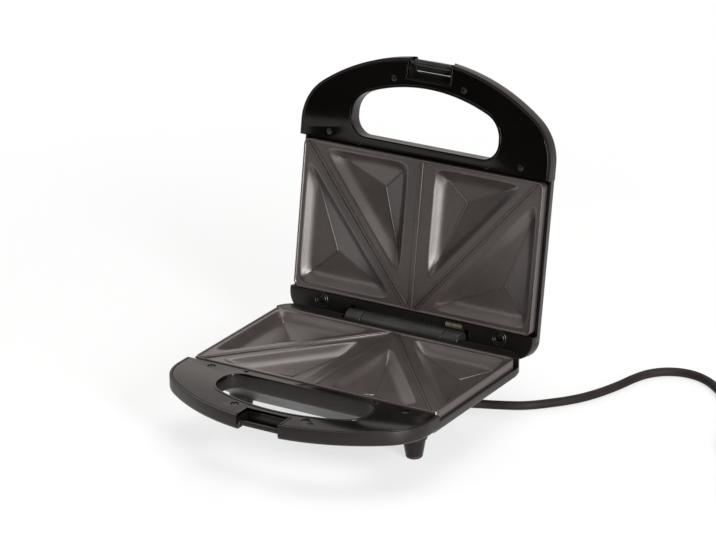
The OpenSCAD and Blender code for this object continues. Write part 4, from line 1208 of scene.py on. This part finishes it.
WARM = {"Specular Tint": (1.0, 0.9, 0.86, 1)}
finishes = {
    "black_gloss": finish(
        "glossy shell black", (0.0032, 0.0025, 0.0023), (0.0055, 0.0044, 0.0041), (0.34, 0.44, 14),
        (GRAIN, 420.0, 0.03), 9, ((0.022, 0.020, 0.019), 900.0, 0.995),
        {**WARM, "Specular IOR Level": 0.38}),
    "cover_gloss": finish(
        "glossy cover black", (0.0012, 0.0011, 0.0010), (0.0026, 0.0024, 0.0022), (0.07, 0.13, 12),
        (GRAIN, 380.0, 0.02), 9, ((0.014, 0.013, 0.012), 800.0, 0.994),
        {**WARM, "Specular IOR Level": 0.32}),
    "nonstick": finish(
        "non-stick coating", (0.029, 0.0226, 0.0210), (0.041, 0.0326, 0.0306), (0.34, 0.38, 30),
        (GRAIN, 1500.0, 0.06), 24, ((0.09, 0.075, 0.07), 1500.0, 0.84),
        {**WARM, "Specular IOR Level": 0.8, "Coat Weight": 0.5, "Coat Roughness": 0.3}),
    "element_steel": metal(
        "heat-darkened sheath", (0.16, 0.14, 0.13), (0.3, 0.26, 0.22), (0.35, 0.55, 60),
        (GRAIN, 1100.0, 0.2), 70),
    "sheet_steel": metal(
        "bright sheet", (0.62, 0.62, 0.63), (0.74, 0.74, 0.74), (0.18, 0.34, 26),
        (LINES, 500.0, 0.15), 30),
    "screw_steel": metal(
        "dark zinc", (0.05, 0.05, 0.052), (0.1, 0.1, 0.103), (0.25, 0.42, 200),
        (GRAIN, 1600.0, 0.12), 160),
    "pin_steel": metal(
        "polished pin", (0.58, 0.58, 0.6), (0.7, 0.7, 0.72), (0.1, 0.22, 90),
        (LINES, 900.0, 0.08), 60),
    "fuse_metal": metal(
        "bright can", (0.66, 0.66, 0.68), (0.8, 0.8, 0.82), (0.16, 0.3, 90),
        (LINES, 900.0, 0.1), 60),
    "plug_pin": metal(
        "nickel plate", (0.7, 0.69, 0.66), (0.82, 0.81, 0.78), (0.1, 0.24, 70),
        (LINES, 700.0, 0.06), 50),
    "hinge_plastic": finish(
        "satin hinge grey", (0.017, 0.017, 0.016), (0.026, 0.026, 0.024), (0.3, 0.42, 40),
        (GRAIN, 1300.0, 0.14), 26, settings={"Specular IOR Level": 0.35}),
    "latch_plastic": finish(
        "satin latch grey", (0.010, 0.0098, 0.0095), (0.017, 0.0165, 0.016), (0.24, 0.34, 40),
        (GRAIN, 1200.0, 0.1), 26, settings={"Specular IOR Level": 0.35}),
    "foot_plastic": finish(
        "glossy foot black", (0.009, 0.0075, 0.007), (0.015, 0.0125, 0.012), (0.18, 0.28, 30),
        (GRAIN, 500.0, 0.05), 20, settings={**WARM, "Specular IOR Level": 0.16}),
    "foot_pad": finish(
        "soft pad", (0.016, 0.0145, 0.014), (0.028, 0.025, 0.024), (0.6, 0.78, 80),
        (GRAIN, 1400.0, 0.3), 60),
    "wire_jacket": finish(
        "pale wire jacket", (0.6, 0.55, 0.42), (0.76, 0.72, 0.58), (0.4, 0.55, 90),
        (LINES, 700.0, 0.2), 50),
    "ceramic": finish(
        "unglazed ceramic", (0.76, 0.73, 0.67), (0.88, 0.86, 0.81), (0.5, 0.7, 90),
        (GRAIN, 900.0, 0.25), 60, ((0.55, 0.5, 0.44), 900.0, 0.97)),
    "clamp_plastic": finish(
        "matt clamp black", (0.09, 0.09, 0.09), (0.13, 0.13, 0.13), (0.5, 0.65, 60),
        (GRAIN, 1100.0, 0.2), 40),
    "cord_jacket": finish(
        "cord jacket", (0.014, 0.0110, 0.0103), (0.022, 0.0175, 0.0165), (0.55, 0.68, 50),
        (GRAIN, 1100.0, 0.16), 30, settings={"Specular IOR Level": 0.14}),
    "tie_plastic": finish(
        "matt tie black", (0.05, 0.05, 0.05), (0.075, 0.075, 0.075), (0.45, 0.6, 60),
        (LINES, 900.0, 0.2), 60),
    "plug_plastic": finish(
        "grained plug black", (0.036, 0.034, 0.033), (0.056, 0.053, 0.052), (0.4, 0.55, 50),
        (GRAIN, 1000.0, 0.35), 30),
    "lamp_glass": finish(
        "lamp bulb glass", (0.78, 0.66, 0.52), (0.92, 0.8, 0.66), (0.06, 0.14, 90),
        (GRAIN, 400.0, 0.05), 80, settings={"Transmission Weight": 0.5}),
    "red_lens": finish(
        "clear red lens", (0.55, 0.02, 0.015), (0.78, 0.05, 0.03), (0.05, 0.1, 90),
        (GRAIN, 500.0, 0.06), 200, settings={"Transmission Weight": 0.6, "IOR": 1.49}),
    "green_lens": finish(
        "clear green lens", (0.02, 0.36, 0.09), (0.06, 0.55, 0.15), (0.05, 0.1, 90),
        (GRAIN, 500.0, 0.06), 200, settings={"Transmission Weight": 0.6, "IOR": 1.49}),
}
print("finishes:", len(finishes))

# %% [markdown]
# The braided sleeve is two sets of strands that wind round it in opposite directions. Two wave
# patterns on slanted axes cross, and the higher of the two is the strand on top. The colour
# follows that height too: where both are low, between the strands, a darker copy of the olive
# is painted shade.


# %% Braid
def braid():
    """Two waves of strands, turned one way and the other; the larger of the two is on top. Where
    both are low, between strands, the darker colour is painted shade.
    """
    material, nodes, links = blank_material("olive braid")
    out = new_node(nodes, "OutputMaterial")
    shade = new_node(nodes, "BsdfPrincipled", Roughness=0.6)
    height = []
    for turn in (0.9, -0.9):
        place = new_node(nodes, "TexCoord")
        mapping = new_node(nodes, "Mapping", Rotation=(0, turn, turn))
        wave = new_node(nodes, "TexWave", Scale=160.0, Distortion=0.6, Detail=1.0)
        links.new(place.outputs["Object"], mapping.inputs["Vector"])
        links.new(mapping.outputs[0], wave.inputs["Vector"])
        height.append(wave.outputs["Fac"])
    top = new_node(nodes, "Math", operation="MAXIMUM")
    links.new(height[0], top.inputs[0])
    links.new(height[1], top.inputs[1])
    # painted shade: the darker olive sits where both waves are low, between the strands, and the
    # lighter one on the strands' tops
    low = place_group(nodes, DRIFT, Dark=(0.035, 0.033, 0.021, 1), Light=(0.05, 0.046, 0.03, 1),
                      Scale=400.0)
    high = place_group(nodes, DRIFT, Dark=(0.07, 0.066, 0.045, 1), Light=(0.11, 0.103, 0.075, 1),
                       Scale=300.0)
    strands = blend(nodes, links, top.outputs[0], low.outputs[0], high.outputs[0])
    links.new(strands, shade.inputs["Base Color"])
    sheen = place_group(nodes, POLISH, Low=0.5, High=0.7, Scale=200.0)
    links.new(sheen.outputs[0], shade.inputs["Roughness"])
    bump = new_node(nodes, "Bump", Strength=0.6, Distance=0.0003)
    links.new(top.outputs[0], bump.inputs["Height"])
    links.new(bump.outputs[0], shade.inputs["Normal"])
    links.new(shade.outputs[0], out.inputs[0])
    return material


finishes["sleeve_braid"] = braid()
print("finishes with the braid:", len(finishes))

# %% [markdown]
# Each piece and each carried-over solid now gets its finish. The new pieces are listed under the
# record's material slot that they stand for, and wear that slot's finish.


# %% Dressing the pieces
new_pieces = {
    "black_gloss": ["base_shell_skin", "lid_shell_skin"],
    "cover_gloss": ["base_handle_plate", "lid_handle_plate"],
    "nonstick": ["base_cast_plate", "lid_cast_plate"],
    "hinge_plastic": ["hinge_barrel_moulding", "hinge_bracket_moulding"],
    "sleeve_braid": ["braided_sleeve"],
    "latch_plastic": ["latch_moulding"],
    "foot_plastic": ["front_feet_moulding", "rear_feet_moulding"],
    "foot_pad": ["foot_pad_discs"],
    "screw_steel": ["base_cover_screws_turned", "lid_cover_screws_turned",
                    "lid_rear_screws_turned"],
    "cord_jacket": ["mains_cord_jacket", "strain_relief_sleeve"],
    "plug_plastic": ["plug_moulding"],
}
solids = {
    "element_steel": ["base_element", "lid_element"],
    "sheet_steel": ["base_element_straps", "lid_element_straps", "base_reflector", "lid_reflector"],
    "pin_steel": ["base_plate_screws", "lid_plate_screws", "hinge_pins", "latch_pin",
                  "cord_clamp_screws"],
    "wire_jacket": ["base_leads", "lid_leads"],
    "ceramic": ["thermostat", "terminal_block"],
    "fuse_metal": ["thermal_fuse"],
    "clamp_plastic": ["cord_clamp"],
    "tie_plastic": ["coil_tie"],
    "plug_pin": ["plug_pins"],
    "red_lens": ["power_lens"],
    "green_lens": ["ready_lens"],
    "lamp_glass": ["lamps"],
}


def wear(obj, material):
    """Give the whole piece one material."""
    if obj.data.materials:
        for slot in obj.material_slots:
            slot.material = material
    else:
        obj.data.materials.append(material)


for slot_name, names in new_pieces.items():
    for name in names:
        wear(bpy.data.objects[name], finishes[slot_name])
for slot_name, names in solids.items():
    for name in names:
        wear(node[name], finishes[slot_name])
scene.view_settings.view_transform = "Standard"
print("pieces dressed:", sum(map(len, new_pieces.values())) + sum(map(len, solids.values())))
